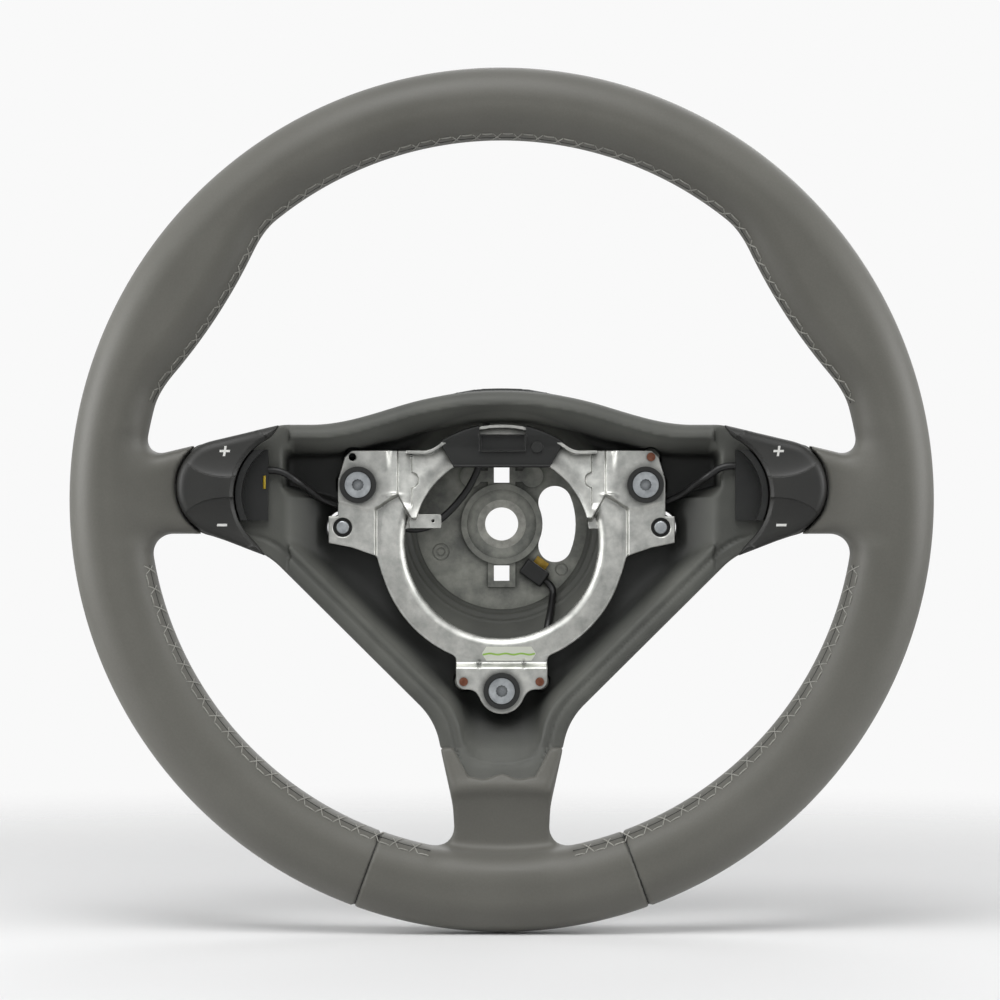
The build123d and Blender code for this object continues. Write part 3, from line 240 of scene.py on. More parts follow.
zinc = metal("zinc_plated_pressed_steel", "a6a7a3", "cfcfca", 7.0, (0.36, 0.5), 1.2, 0.10)
bolt_zinc = metal("zinc_plated_bolt_steel", "9fa3a6", "c6cacc", 4.0, (0.26, 0.40), 0.8, 0.06)
cast = metal("die_cast_aluminium", "6c6d69", "9a9b93", 11.0, (0.42, 0.58), 1.0, 0.25)
spline_steel = metal("broached_steel", "8a8a84", "b3b2aa", 5.0, (0.28, 0.42), 0.8, 0.05)
core_steel = metal("drawn_steel_bar", "5c5d5c", "777876", 9.0, (0.4, 0.55), 1.0, 0.1)
spring_steel = metal("drawn_spring_wire", "6f706e", "8d8e8a", 3.0, (0.3, 0.4), 0.6, 0.05)
copper = metal("plain_copper", "6f4637", "8d6150", 2.0, (0.34, 0.5), 0.6, 0.1)
brass = metal("stamped_brass", "8f7434", "b3954a", 3.0, (0.3, 0.44), 0.7, 0.08)

# %% [markdown]
# ## Plastics and rubber
# Holders, collars and the bridge are moulded black nylon with a slight sheen. The rockers have a
# soft-touch paint that is flatter and warmer. Sheaths are smooth PVC, and threads, inks and paper
# are dull. A fine noise bump stands for the spark-eroded texture of the mould or for the fibres.

# %% Plastic finishes
DRIFT_MM = 18.0
DRIFT_STOPS = (0.35, 0.7)


def plastic(name, dark, light, rough, grit_mm, strength, ior=1.5):
    """A moulded plastic with a faint colour drift and a spark-eroded texture."""
    material, shader, place = finish(name, IOR=ior)
    drift = add(material, "ShaderNodeTexNoise", {"Scale": per_mm(DRIFT_MM), "Detail": 4.0}, {"Vector": place})
    stops = zip(DRIFT_STOPS, (dark, light))
    colour = add(material, "ShaderNodeValToRGB", links={"Fac": drift.outputs["Fac"]}, stops=stops)
    join(material, colour.outputs["Color"], shader, "Base Color")
    gloss = add(
        material, "ShaderNodeMapRange", {"To Min": rough[0], "To Max": rough[1]},
        {"Value": drift.outputs["Fac"]})
    join(material, gloss.outputs["Result"], shader, "Roughness")
    grit = add(material, "ShaderNodeTexNoise", {"Scale": per_mm(grit_mm), "Detail": 2.0}, {"Vector": place})
    bump = add(
        material, "ShaderNodeBump", {"Strength": strength, "Distance": 0.0002},
        {"Height": grit.outputs["Fac"]})
    join(material, bump.outputs["Normal"], shader, "Normal")
    return material


nylon = plastic("moulded_black_nylon", "0f100f", "181917", (0.42, 0.54), 0.7, 0.12)
soft_touch = plastic("soft_touch_black_paint", "191917", "20201d", (0.48, 0.58), 0.5, 0.10)
pvc = plastic("black_pvc_sheath", "0a0a0a", "121211", (0.42, 0.52), 1.5, 0.06)
silicone = plastic("grey_silicone_rubber", "6f706d", "7d7e7a", (0.5, 0.6), 0.8, 0.05)
board_green = plastic("green_printed_board", "1d3a20", "274b2a", (0.35, 0.5), 2.0, 0.05)
white_ink = plastic("white_printed_ink", "d4d4d0", "e2e2de", (0.5, 0.6), 0.6, 0.03)
thread = plastic("grey_polyester_thread", "8b8a84", "a09f98", (0.55, 0.7), 0.3, 0.2)
# Dark for the seam grooves: painted shade in the gaps where the leather's edges meet.
seam_gap_shade = plastic("painted_seam_gap_shade", "242422", "32322f", (0.6, 0.75), 0.3, 0.2)
paper = plastic("coated_paper_label", "d6d9cc", "e4e6dc", (0.45, 0.6), 3.0, 0.04)
green_ink = plastic("green_printed_ink", "8fbf4a", "a3cf5c", (0.5, 0.6), 1.0, 0.03)
yellow_pvc = plastic("yellow_pvc_wire", "b59a1c", "c9ad2a", (0.4, 0.5), 1.0, 0.05)

# %% [markdown]
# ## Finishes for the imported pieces
# Pieces whose solid is already right keep it and take a finish from the list above, plus a small
# bevel, because no moulded, cast or turned edge is perfectly sharp.

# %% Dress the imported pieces
DRESS = {
    "hub_casting": (cast, 0.6), "spline_bush": (spline_steel, 0.15), "rim_core": (core_steel, 0.0),
    "horn_plate": (zinc, 0.4), "horn_bolts": (bolt_zinc, 0.35), "horn_bushes": (nylon, 0.5),
    "horn_springs": (spring_steel, 0.0), "horn_contacts": (copper, 0.3), "contact_bridge": (nylon, 0.4),
    "airbag_screws": (bolt_zinc, 0.3), "screw_sleeves": (nylon, 0.4), "ground_tab": (brass, 0.15),
    "ground_connector": (nylon, 0.3), "ground_lead": (pvc, 0.0), "foam_body": (foam, 0.0),
    "leather_upper": (leather, 0.0), "leather_lower": (leather, 0.0),
}
for side in ("left", "right"):
    DRESS.update({
        f"{side}_shift_rocker": (soft_touch, 0.0), f"{side}_pod_base": (nylon, 0.4),
        f"{side}_rocker_pin": (spline_steel, 0.2), f"{side}_switch_board": (board_green, 0.1),
        f"{side}_switch_domes": (silicone, 0.2), f"{side}_pod_screws": (bolt_zinc, 0.2),
        f"{side}_pod_lead": (pvc, 0.0),
    })
for node, (material, edge) in DRESS.items():
    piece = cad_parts[node]
    piece.data.materials.clear()
    piece.data.materials.append(material)
    if edge:
        bevel = piece.modifiers.new("edge", "BEVEL")
        bevel.width = edge * MM
        bevel.segments = 2
        bevel.limit_method = "ANGLE"
        bevel.angle_limit = radians(40)
        bevel.harden_normals = False
print("dressed", len(DRESS))

# %% [markdown]
# ## Soft forms from distance fields
# Leather over foam has no flat faces and no sharp edges. Such a form is easiest to say as a
# function that is positive inside it: the smaller of two such functions is what both share, and a
# smooth minimum rounds the edge between them. The skin function below samples a field on a grid,
# puts one point in every cell that the surface crosses, joins neighbours into quads and then slides
# each point onto the surface, so that the grid doesn't show.

# %% Field helpers
def soft_min(a, b, k):
    """Smooth minimum: the part shared by two forms, with its edge rounded over about k."""
    h = np.clip(0.5 + 0.5 * (b - a) / k, 0, 1)
    return b + (a - b) * h - k * h * (1 - h)


def soft_max(a, b, k):
    """Smooth maximum: two forms joined with a fillet over about k."""
    return -soft_min(-a, -b, k)


def step(gap, width):
    """Smooth step from 0 to 1 across a line, over a width."""
    t = np.clip(gap / width + 0.5, 0, 1)
    return t * t * (3 - 2 * t)


def round_min(a, b, r):
    """Shared part of two forms that meet squarely, with a round edge of radius r."""
    return np.maximum(r, np.minimum(a, b)) - np.hypot(np.maximum(r - a, 0), np.maximum(r - b, 0))


def beside(x, z, start, end):
    """Distance to the right of the line from start to end."""
    run, rise = end[0] - start[0], end[1] - start[1]
    return ((x - start[0]) * rise - (z - start[1]) * run) / sqrt(run * run + rise * rise)


CORNERS = np.array([(i, j, k) for i in (0, 1) for j in (0, 1) for k in (0, 1)])
CELL_EDGES = [(a, b) for a in range(8) for b in range(a + 1, 8) if abs(CORNERS[a] - CORNERS[b]).sum() == 1]


def skin(name, field, low, high, cell, material, slides=3):
    """Mesh of the surface where a field, in millimetres, is zero, on a grid of cells of that size."""
    axes = [np.arange(a, b + cell, cell) for a, b in zip(low, high)]
    value = field(*np.meshgrid(*axes, indexing="ij", sparse=True))
    solid = value > 0
    shape = np.array(solid.shape) - 1
    count = sum(solid[i:i + shape[0], j:j + shape[1], k:k + shape[2]].astype(np.int8) for i, j, k in CORNERS)
    cells = np.argwhere((count > 0) & (count < 8))
    at = [value[tuple((cells + c).T)] for c in CORNERS]
    total = np.zeros((len(cells), 3))
    hits = np.zeros(len(cells))
    for a, b in CELL_EDGES:
        crossed = (at[a] > 0) != (at[b] > 0)
        share = np.where(crossed, at[a] / np.where(crossed, at[a] - at[b], 1), 0)
        total += crossed[:, None] * (CORNERS[a] + share[:, None] * (CORNERS[b] - CORNERS[a]))
        hits += crossed
    points = np.array(low) + cell * (cells + total / hits[:, None])
    number = np.full(tuple(shape), -1, dtype=np.int32)
    number[tuple(cells.T)] = np.arange(len(cells))
    quads = []
    for axis in range(3):
        u, v = (axis + 1) % 3, (axis + 2) % 3
        first = np.take(solid, range(shape[axis]), axis)
        last = np.take(solid, range(1, shape[axis] + 1), axis)
        edge = np.argwhere(first != last)
        edge = edge[(edge[:, u] > 0) & (edge[:, v] > 0) & (edge[:, u] < shape[u]) & (edge[:, v] < shape[v])]
        back_u, back_v = np.zeros(3, int), np.zeros(3, int)
        back_u[u] = back_v[v] = 1
        corners = (back_u + back_v, back_v, 0 * back_u, back_u)
        ring = np.stack([number[tuple((edge - corner).T)] for corner in corners], 1)
        outward = first[tuple(edge.T)]
        ring[~outward] = ring[~outward, ::-1]
        quads.append(ring)
    quads = np.concatenate(quads)
    near = 0.25 * cell
    for _ in range(slides):
        x, y, z = points.T
        gap = field(x, y, z)
        slope = np.stack([
            field(x + near, y, z) - field(x - near, y, z),
            field(x, y + near, z) - field(x, y - near, z),
            field(x, y, z + near) - field(x, y, z - near),
        ], 1) / (2 * near)
        slope[(slope**2).sum(1) < 1e-6] = (0, -1, 0)
        push = gap / np.maximum((slope**2).sum(1), 0.2)
        points = points - np.clip(push, -cell, cell)[:, None] * slope
    mesh = bpy.data.meshes.new(name)
    mesh.from_pydata((points * MM).tolist(), [], quads.tolist())
    mesh.shade_smooth()
    mesh.normals_split_custom_set_from_vertices((-slope / np.linalg.norm(slope, axis=1)[:, None]).tolist())
    mesh.materials.append(material)
    piece = bpy.data.objects.new(name, mesh)
    bpy.context.scene.collection.objects.link(piece)
    print(name, "quads", len(quads))
    return piece


# %% [markdown]
# ## Plan of the wheel
# Seen from the driver, the wheel is a disc with three windows. Each window is where several edges
# leave room: the rim's circle, the thumb rests, the spokes' edges and the cowl over the hub. The
# distance from a point to the nearest edge of that plan drives both the leather and the foam.

# %% Plan distances
UPPER_R, LOWER_R = 158.0, 155.0
THUMB = (399.0 * cos(radians(33)), 399.0 * sin(radians(33)), 250.0)
SHOULDER = (97.0, 33.2)
SPOKE_FALL = radians(13.7)
COWL_TOP, COWL_R = 48.3, 155.0
FOOT, CHIN, WAIST, UNDER = (21.5, -135.0), (29.7, -97.4), (103.0, -24.6), (131.0, -15.0)


def upper_gap(x, z):
    """Distance into the upper window."""
    side = np.abs(x)
    rise = z - SHOULDER[1]
    shoulder = soft_max(rise, rise * cos(SPOKE_FALL) + (side - SHOULDER[0]) * sin(SPOKE_FALL), 0.9)
    over = soft_min(shoulder, np.hypot(x, z - COWL_TOP + COWL_R) - COWL_R, 8.4)
    rim = soft_min(UPPER_R - np.hypot(x, z), np.hypot(side - THUMB[0], z - THUMB[1]) - THUMB[2], 3.8)
    return round_min(rim, over, 9.0)


def lower_gap(x, z):
    """Distance into the lower windows."""
    side = np.abs(x)
    edge = soft_min(side - FOOT[0], beside(side, z, FOOT, CHIN), 0.6)
    edge = soft_min(edge, beside(side, z, CHIN, WAIST), 5.2)
    edge = soft_min(edge, beside(side, z, WAIST, UNDER), 3.1)
    edge = soft_min(edge, UNDER[1] - z, 1.6)
    return round_min(edge, LOWER_R - np.hypot(x, z), 10.0)


def plan_depth(x, z):
    """Distance from the nearest edge of the plan, positive on rim, spokes and hub."""
    return np.minimum(RIM_DIAMETER / 2 - np.hypot(x, z), -np.maximum(upper_gap(x, z), lower_gap(x, z)))


ROCKER_AT, ROCKER_R, ROCKER_GAP = (120.5, 5.4), 22.0, 0.8
BARE_SIDE, BARE_KNEE, BARE_TOP = (120.5, -38.6), (29.7, -109.2), 60.0
BARE_FOOT, BARE_END = (21.5, -109.2), (14.6, -121.6)
END_WAVE = 1.1
SKIRT_HALF, SKIRT_Z = 8.25, (-34.6, -12.6)


def bare_zone(x, z):
    """Distance into the zone that the leather leaves bare: rockers, hub and the foam tongue."""
    side = np.abs(x)
    toe = np.maximum(beside(side, z, BARE_FOOT, BARE_END), z - BARE_FOOT[1])
    wave = END_WAVE * (np.exp(-((side / 3.5) ** 2)) - np.exp(-(((side - 8.0) / 4.0) ** 2)))
    flank = np.maximum(beside(side, z, BARE_SIDE, BARE_KNEE), BARE_KNEE[0] - side)
    hub = np.minimum(np.minimum(BARE_SIDE[0] - side, toe), flank)
    hub = np.minimum(hub, np.minimum(z - BARE_END[1] - wave, BARE_TOP - z))
    rocker = ROCKER_R + ROCKER_GAP - np.hypot(side - ROCKER_AT[0], z - ROCKER_AT[1])
    skirt = np.minimum(SKIRT_HALF - np.abs(side - ROCKER_AT[0]), np.minimum(SKIRT_Z[1] - z, z - SKIRT_Z[0]))
    return np.maximum(hub, np.maximum(rocker, skirt))


# %% [markdown]
# ## The leather wrap
# The rim's section is nearly round, 32 mm wide and 29 mm deep. It swells at the thumb rests and
# dips where the spokes leave it. On the lower spoke a low crest parts a hollow next to the rim from
# a shelf that meets the foam. Two butt seams part the wrap at the bottom, 20 degrees either side of
# straight down, so it is made as two pieces whose edges roll into the seam.

# %% Leather pieces
RIM_HALF = 14.5
SEAM_ANGLE = radians(20)
LIP_FRONT = 62.0
SHELF_PROUD, SHELF_SLOPE = 0.8, 0.3
SPOKE_DROP = 4.5
VALLEY_AT, VALLEY_R = (126.5, -148.0), 62.5
CREST_Z, CREST_HIGH = -126.2, 0.9
DIP_AT, DIP_R = (135.0, 133.0), 60.0


def section(depth, y):
    """The rim's round section, for a distance from its edge."""
    return RIM_HALF - np.hypot(RIM_HALF - np.minimum(depth, RIM_HALF), y + RIM_PLANE)


def lower_front(x, y, z):
    """Front of the lower spoke: a hollow next to the rim, a crest and a shelf down to the foam's lip."""
    valley = np.hypot(y + VALLEY_AT[0], z - VALLEY_AT[1]) - VALLEY_R
    shelf = LIP_FRONT + SHELF_PROUD + SHELF_SLOPE * (BARE_KNEE[1] - z) + y
    shelf = np.maximum(shelf / sqrt(1 + SHELF_SLOPE**2), np.maximum(z + 100.0, np.abs(x) - 40.0))
    crest = CREST_HIGH * np.exp(-(((z - CREST_Z + 0.004 * x * x) / 3.2) ** 2))
    return soft_min(valley, shelf, 2.0) + crest


def padded(x, y, z):
    """Rim and spokes as padded, before the leather's ends are cut."""
    z = z - RIM_LIFT
    side = np.abs(x)
    radius = np.hypot(x, z)
    drop = SPOKE_DROP * step(z + 137.5, 25.0) * step(45.0 - side, 4.0) * step(-95.0 - z, 5.0)
    form = section(plan_depth(x, z), y - drop)
    ring = section(np.minimum(RIM_DIAMETER / 2 - radius, radius - LOWER_R), y)
    edge = 0.1 + 3.0 * np.clip((34.0 - side) / 10.0, 0, 1)
    form = soft_min(form, soft_max(lower_front(x, y, z), ring, 5.0), edge)
    dip = np.hypot(side - DIP_AT[0], y + DIP_AT[1]) - DIP_R
    return soft_min(form, soft_max(dip, np.abs(z - ROCKER_AT[1]) - 24.0, 6.0), 4.0)


def wrap(x, y, z):
    """The leather's share of that form."""
    return soft_min(padded(x, y, z), -bare_zone(x, z - RIM_LIFT), 1.6)


def seam_side(x, z):
    """Distance above the nearer seam line, negative in the bottom panel."""
    return np.abs(x) * cos(SEAM_ANGLE) + (z - RIM_LIFT) * sin(SEAM_ANGLE)


LEATHER_STEP = 1.3
leather_upper = skin(
    "leather_upper_wrap", lambda x, y, z: soft_min(wrap(x, y, z), seam_side(x, z) - 0.1, 1.6),
    (-193, -83, -175), (193, -49, 204), LEATHER_STEP, leather)
leather_lower = skin(
    "leather_lower_wrap", lambda x, y, z: soft_min(wrap(x, y, z), -seam_side(x, z) - 0.1, 1.6),
    (-70, -83, -182), (70, -42, -95), LEATHER_STEP, leather)
for piece, node in ((leather_upper, "leather_upper"), (leather_lower, "leather_lower")):
    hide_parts(node)
    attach(piece, "wheel")

# %% [markdown]
# ## The foam hub surround
# Inside the leather's ends the foam skin shows. It has a round lip with a crease behind it, a
# tray that the horn plate sits over, a ramp down the lower spoke and a bowl around the hub.

# %% Foam piece
FOAM_BACK, FOAM_FLOOR, POD_SEAT, POD_EDGE = 27.0, 40.0, 59.5, 94.0
RAMP_TOP, RAMP_SLOPE = -92.5, 1.01
BAND_LOW, BAND_R = -106.7, 142.2
TRAY_SIDE = 97.0
BOWL_FLOOR, BOWL_R, BOWL_SLOPE, BOWL_RIM = 18.0, 38.5, 0.614, 42.0
COLLAR_BACK, COLLAR_R, COLLAR_SLOPE, COLLAR_RIM = 14.0, 45.0, 0.64, 38.0
BOLTS = ((63.8, 17.6), (-63.8, 17.6), (0.0, -73.8))
EARS = ((70.7, -1.3), (-70.7, -1.3))
PADS = ((66.3, 30.0), (-66.3, 30.0), (16.9, -69.8), (-16.9, -69.8))
POCKET_FLOOR, BOLT_ROOM, PAD_ROOM, EAR_ROOM = 37.0, 9.4, 4.4, 7.6


def lip_height(z):
    """Front of the foam's lip, which climbs a little on the lower spoke."""
    return LIP_FRONT + SHELF_SLOPE * np.maximum(BARE_KNEE[1] - z, 0)


def tray(x, h, z, depth):
    """Sunk tray behind the lip, with the lower spoke's ramp and the smiling crease across its end."""
    side = np.abs(x)
    floor = soft_max(FOAM_FLOOR + 0 * z, FOAM_FLOOR + (RAMP_TOP - z) * RAMP_SLOPE, 5.0)
    smile = z + 116.3 - 3.0 * (side / 14.6) ** 2
    floor = floor + 0.7 * np.exp(-((smile / 0.8) ** 2)) * np.clip((19.0 - side) / 3, 0, 1)
    sunk = lip_height(z) - h
    upper = step(z, 20.0)
    room = soft_min(depth - 10.0 - (0.3 - 0.11 * upper) * sunk, h - floor, 7.0 - 4.0 * upper)
    band = np.maximum(BAND_R - np.hypot(x, z - BAND_LOW), 27.5 - z)
    room = soft_min(room, band - 0.05 * sunk, 2.0)
    facet = 0.08 + 0.9 * np.clip((6.0 - z) / 5.0, 0, 1)
    return soft_min(room, TRAY_SIDE - side - facet * sunk, 3.0)


def hub_bowl(h, radius):
    """Bowl around the hub's floor, with moulded ridges low on its wall."""
    ridge = 0.5 * np.sin(np.clip((h - 19.0) / 9.0, 0, 1) * 4 * pi)
    wall = BOWL_R + np.maximum(h - BOWL_FLOOR, 0) * BOWL_SLOPE + ridge - radius
    return np.minimum(wall * 0.85, BOWL_RIM - h)


def surround(x, y, z_axis):
    """Foam around the hub."""
    h = -y
    z = z_axis - RIM_LIFT
    side = np.abs(x)
    radius = np.hypot(x, z_axis)
    depth = plan_depth(x, z)
    bare = bare_zone(x, z)
    lip = lip_height(z) - h
    cowl = np.clip((z - 8.0) / 8.0, 0, 1) * np.clip((96.0 - side) / 4.0, 0, 1)
    back = soft_max(FOAM_BACK + (side - 96.0) * 0.518, FOAM_BACK + (-88.0 - z) * 0.731, 6.0)
    back = soft_max(back, FOAM_BACK, 8.0)
    form = round_min(depth, lip, 4.0 + 2.5 * cowl)
    form = soft_min(form, h - back, 9.0)
    form = soft_min(form, bare + 0.6, 0.8)
    form = soft_min(form, lip - 1.8 * cowl * np.maximum(depth - 6.0, 0), 1.0)
    form = soft_min(form, soft_max(POD_SEAT - h, POD_EDGE - side, 1.5), 1.0)
    crease = 0.9 * np.exp(-(((depth - 6.4) / 1.1) ** 2)) * np.clip((h - 52) / 4, 0, 1)
    form = form - crease * np.clip((-14.0 - z) / 6, 0, 1)
    collar = (COLLAR_R + (h - COLLAR_BACK) * COLLAR_SLOPE - radius) * 0.84
    form = soft_max(form, np.minimum(collar, np.minimum(h - COLLAR_BACK, COLLAR_RIM - h)), 4.0)
    form = soft_min(form, -tray(x, h, z, depth), 2.0)
    form = soft_min(form, -hub_bowl(h, radius), 2.0)
    for places, room in ((BOLTS, BOLT_ROOM), (PADS, PAD_ROOM)):
        for bx, bz in places:
            form = np.minimum(form, np.maximum(np.hypot(x - bx, z_axis - bz) - room, POCKET_FLOOR - h))
    for bx, bz in EARS:
        form = np.minimum(form, np.hypot(x - bx, z_axis - bz) - EAR_ROOM + 0 * h)
    tucked = np.minimum(padded(x, y, z_axis) - 1.1, np.minimum(bare + 3.0, 0.3 - bare))
    return np.maximum(form, tucked)


FOAM_STEP = 1.2
foam_piece = skin("foam_surround", surround, (-147, -69, -114), (147, -12, 62), FOAM_STEP, foam)
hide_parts("foam_body")
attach(foam_piece, "wheel")

# %% [markdown]
# ## Horn plate
# The horn plate is pressed from one sheet. Its arms stand a little proud, a channel and a round
# dent stiffen each arm, the ring's inner edge rolls away from the driver and the lower tab steps
# forward. A height map over the plan says all of that, and a thin turned-up edge runs along the top.

# %% Horn plate piece
PLATE_BACK, RING_FRONT, ARM_FRONT, EDGE_FRONT = 47.0, 48.9, 49.8, 52.8
SHEET = 1.1
RING_LOW, RING_R, CREST_R = -7.5, 55.2, 46.6
OPEN_TOP_R, OPEN_R = 39.1, 43.0
TAB_HALF, TAB_LOW, TAB_PROUD, BEND_Z = 20.4, -73.4, 3.0, -62.6
BOLT_HOLE, EAR_HOLE, PAD_HOLE = 5.0, 4.2, 1.6
PLATE_ARM = (
    (0.0, 32.0), (40.5, 33.0), (66.8, 33.0), (69.8, 30.0), (72.8, 19.6), (72.8, 3.7), (77.0, 3.7),
    (77.0, -8.3), (66.7, -10.3), (55.2, -14.3), (52.2, -21.5), (0.0, -21.5))
ARM_FOOT = ((0.0, 40.0, 46.0, 50.5, 55.0, 60.0, 72.0), (2.0, 2.0, 13.0, 10.5, 7.4, 6.5, 9.8))


def inside_polygon(x, z, points):
    """Signed distance into a polygon."""
    gap = np.full(np.broadcast(x, z).shape, 1e9)
    odd = np.zeros(gap.shape, bool)
    for (ax, az), (bx, bz) in zip(points, points[1:] + points[:1]):
        run, rise = bx - ax, bz - az
        share = np.clip(((x - ax) * run + (z - az) * rise) / (run * run + rise * rise), 0, 1)
        gap = np.minimum(gap, np.hypot(x - ax - share * run, z - az - share * rise))
        if rise:
            odd ^= ((az > z) != (bz > z)) & (x < ax + (z - az) * run / rise)
    return np.where(odd, gap, -gap)


def plate_outline(x, z):
    """Distance into the sheet's outer outline."""
    side = np.abs(x)
    ring = np.where(z < RING_LOW, RING_R - np.hypot(x, z - RING_LOW), 48.5 - np.hypot(x, z + 4.0))
    arm = soft_max(inside_polygon(side, z, PLATE_ARM[::-1]), ring, 2.5)
    tab = round_min(TAB_HALF - side, z - TAB_LOW, 4.0)
    foot = soft_max(tab, 10.4 - np.hypot(x, z - BOLTS[2][1]), 5.0)
    return soft_max(arm, np.minimum(foot, -40.0 - z), 2.0)


def plate_front(x, z):
    """Height of the sheet's front."""
    side = np.abs(x)
    radius = np.hypot(x, z - RING_LOW)
    roll = 2.4 * np.clip((CREST_R - radius) / 3.6, 0, 1) ** 2
    ring = RING_FRONT - roll - 1.9 * np.clip((radius - CREST_R) / 7.4, 0, 1)
    low = ring + (RING_FRONT - ring) * step(side - 56.0, 1.6)
    arm = ARM_FRONT - 0.16 * (z - 18.0) * step(50.0 - side, 4.0)
    arm = arm - 2.6 * np.clip(1 - (radius - OPEN_TOP_R) / 7.5, 0, 1) ** 2
    channel = np.minimum(step(side - 39.9, 0.9), step(46.2 - side, 0.9)) * step(z - 8.0, 4.0)
    dent = step(3.4 - np.hypot(side - 40.4, z - 19.7), 0.7)
    arm = arm - 1.3 * np.maximum(channel, dent)
    arm = arm + 0.9 * np.exp(-((side - 47.9) / 2.8) ** 2 - ((z - 13.1) / 0.8) ** 2)
    foot_line = np.interp(side, *ARM_FOOT)
    high = low + (arm - low) * step(z - foot_line, 2.2)
    slots = np.exp(-((side - 10.0) / 0.7) ** 2 - ((z + 62.0) / 1.7) ** 2)
    return high + TAB_PROUD * step(BEND_Z - z, 3.0) * step(23.0 - side, 2.0) - 0.8 * slots


def plate(x, y, z):
    """The pressed plate."""
    h = -y
    side = np.abs(x)
    outer = plate_outline(x, z)
    opening = np.where(z > -2.0, OPEN_TOP_R, OPEN_R) - np.hypot(x, z - RING_LOW)
    blank = np.minimum(outer, -opening)
    for places, hole in ((BOLTS, BOLT_HOLE), (EARS, EAR_HOLE), (PADS[1:2], PAD_HOLE)):
        for bx, bz in places:
            blank = np.minimum(blank, np.hypot(x - bx, z - bz) - hole)
    front = plate_front(x, z)
    sheet = round_min(blank, np.minimum(front - h, h - np.minimum(PLATE_BACK, front - SHEET)), 0.5)
    spade = round_min(np.minimum(-26.8 - x, x + 41.0), 3.15 - np.abs(z - 1.4), 0.8)
    blade = np.minimum(np.minimum(spade, np.hypot(x + 30.5, z - 1.6) - 0.7), np.minimum(48.3 - h, h - 47.3))
    edge = np.minimum(np.minimum(outer - 0.1, 1.6 - outer), np.minimum(EDGE_FRONT - h, h - PLATE_BACK))
    edge = np.minimum(edge, np.minimum(42.5 - side, z - 31.0))
    return np.maximum(np.maximum(sheet, blade), edge)


PLATE_STEP = 0.55
plate_piece = skin("pressed_horn_plate", plate, (-78, -54.2, -86), (78, -44.4, 46), PLATE_STEP, zinc)
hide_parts("horn_plate")
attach(plate_piece, "horn_carrier")

# %% [markdown]
# ## Label
# A paper label with cut corners sticks to the ring above the tab, with a green check stroke drawn
# along it. The number printed on the real one is left out.

# %% Label
def mesh_piece(name, points, faces, material, body, smooth=False):
    """An object from points in millimetres that rides on a body."""
    mesh = bpy.data.meshes.new(name)
    mesh.from_pydata([(x * MM, y * MM, z * MM) for x, y, z in points], [], faces)
    if smooth:
        mesh.shade_smooth()
    mesh.materials.append(material)
    made = bpy.data.objects.new(name, mesh)
    bpy.context.scene.collection.objects.link(made)
    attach(made, body)
    return made


def plate_sheet(name, places, low, high, lift, material):
    """A thin sheet on the horn plate between two edges, given for places along x."""
    rows = 6
    share = np.linspace(0, 1, rows)
    x = np.repeat(places, rows)
    z = (low[:, None] + share * (high - low)[:, None]).ravel()
    height = plate_front(x, z) + lift
    faces = []
    for i in range(len(places) - 1):
        for j in range(rows - 1):
            a = i * rows + j
            faces.append((a, a + rows, a + rows + 1, a + 1))
    return mesh_piece(name, np.stack([x, -height, z], 1).tolist(), faces, material, "horn_carrier")


LABEL_X, LABEL_Z, LABEL_CUT = (-8.8, 15.2), (-60.6, -54.2), 2.0
places = np.linspace(*LABEL_X, 49)
cut = np.clip(LABEL_CUT - np.minimum(places - LABEL_X[0], LABEL_X[1] - places), 0, None) * 1.5
plate_sheet("paper_label", places, LABEL_Z[0] + cut, LABEL_Z[1] - cut, 0.08, paper)
places = np.linspace(LABEL_X[0] + 0.4, LABEL_X[1] - 0.4, 60)
wave = -57.6 + 0.25 * np.sin(places * 0.9)
plate_sheet("green_check_stroke", places, wave - 0.4, wave + 0.4, 0.12, green_ink)

# %% [markdown]
# ## Rockers
# Each rocker is a thin moulded cap. Two finger dishes lie above and below a plain ridge, the long
# edge facing the hub is hollowed and chamfered, and the rest is rounded so that a thumb slides over it.

# %% Rocker pieces
ROCKER_TIP = ((97.6, 32.8), (101.4, 27.4))
ROCKER_HEEL = ((107.6, -19.2), (104.0, -24.5))
ROCKER_WAIST = (117.5, 4.6)
ROCKER_FRONT, ROCKER_BACK = 77.0, 64.3


def circle_through(a, b, c):
    """Centre and radius of the circle through three points."""
    lines = np.array([[b[0] - a[0], b[1] - a[1]], [c[0] - a[0], c[1] - a[1]]])
    right = 0.5 * np.array([(lines[0] ** 2).sum(), (lines[1] ** 2).sum()])
    off = np.linalg.solve(lines, right)
    return a[0] + off[0], a[1] + off[1], float(np.hypot(*off))


HOLLOW = circle_through(ROCKER_TIP[1], ROCKER_WAIST, ROCKER_HEEL[0])
ROCKER_TURN = (radians(-69), radians(63))
ROCKER_TOP = (ROCKER_AT[0] + ROCKER_R * cos(ROCKER_TURN[1]), ROCKER_AT[1] + ROCKER_R * sin(ROCKER_TURN[1]))


def rocker_front(side, z):
    """Height of a rocker's front with its two dishes."""
    off = np.abs(z - ROCKER_AT[1])
    inside = 1 - ((side - 120.0) / 20.0) ** 2 - ((off - 16.0) / 11.6) ** 2
    return ROCKER_FRONT - 2.5 * np.sqrt(np.clip(inside, 0, 1)) - 0.0035 * np.maximum(off - 6.0, 0) ** 2


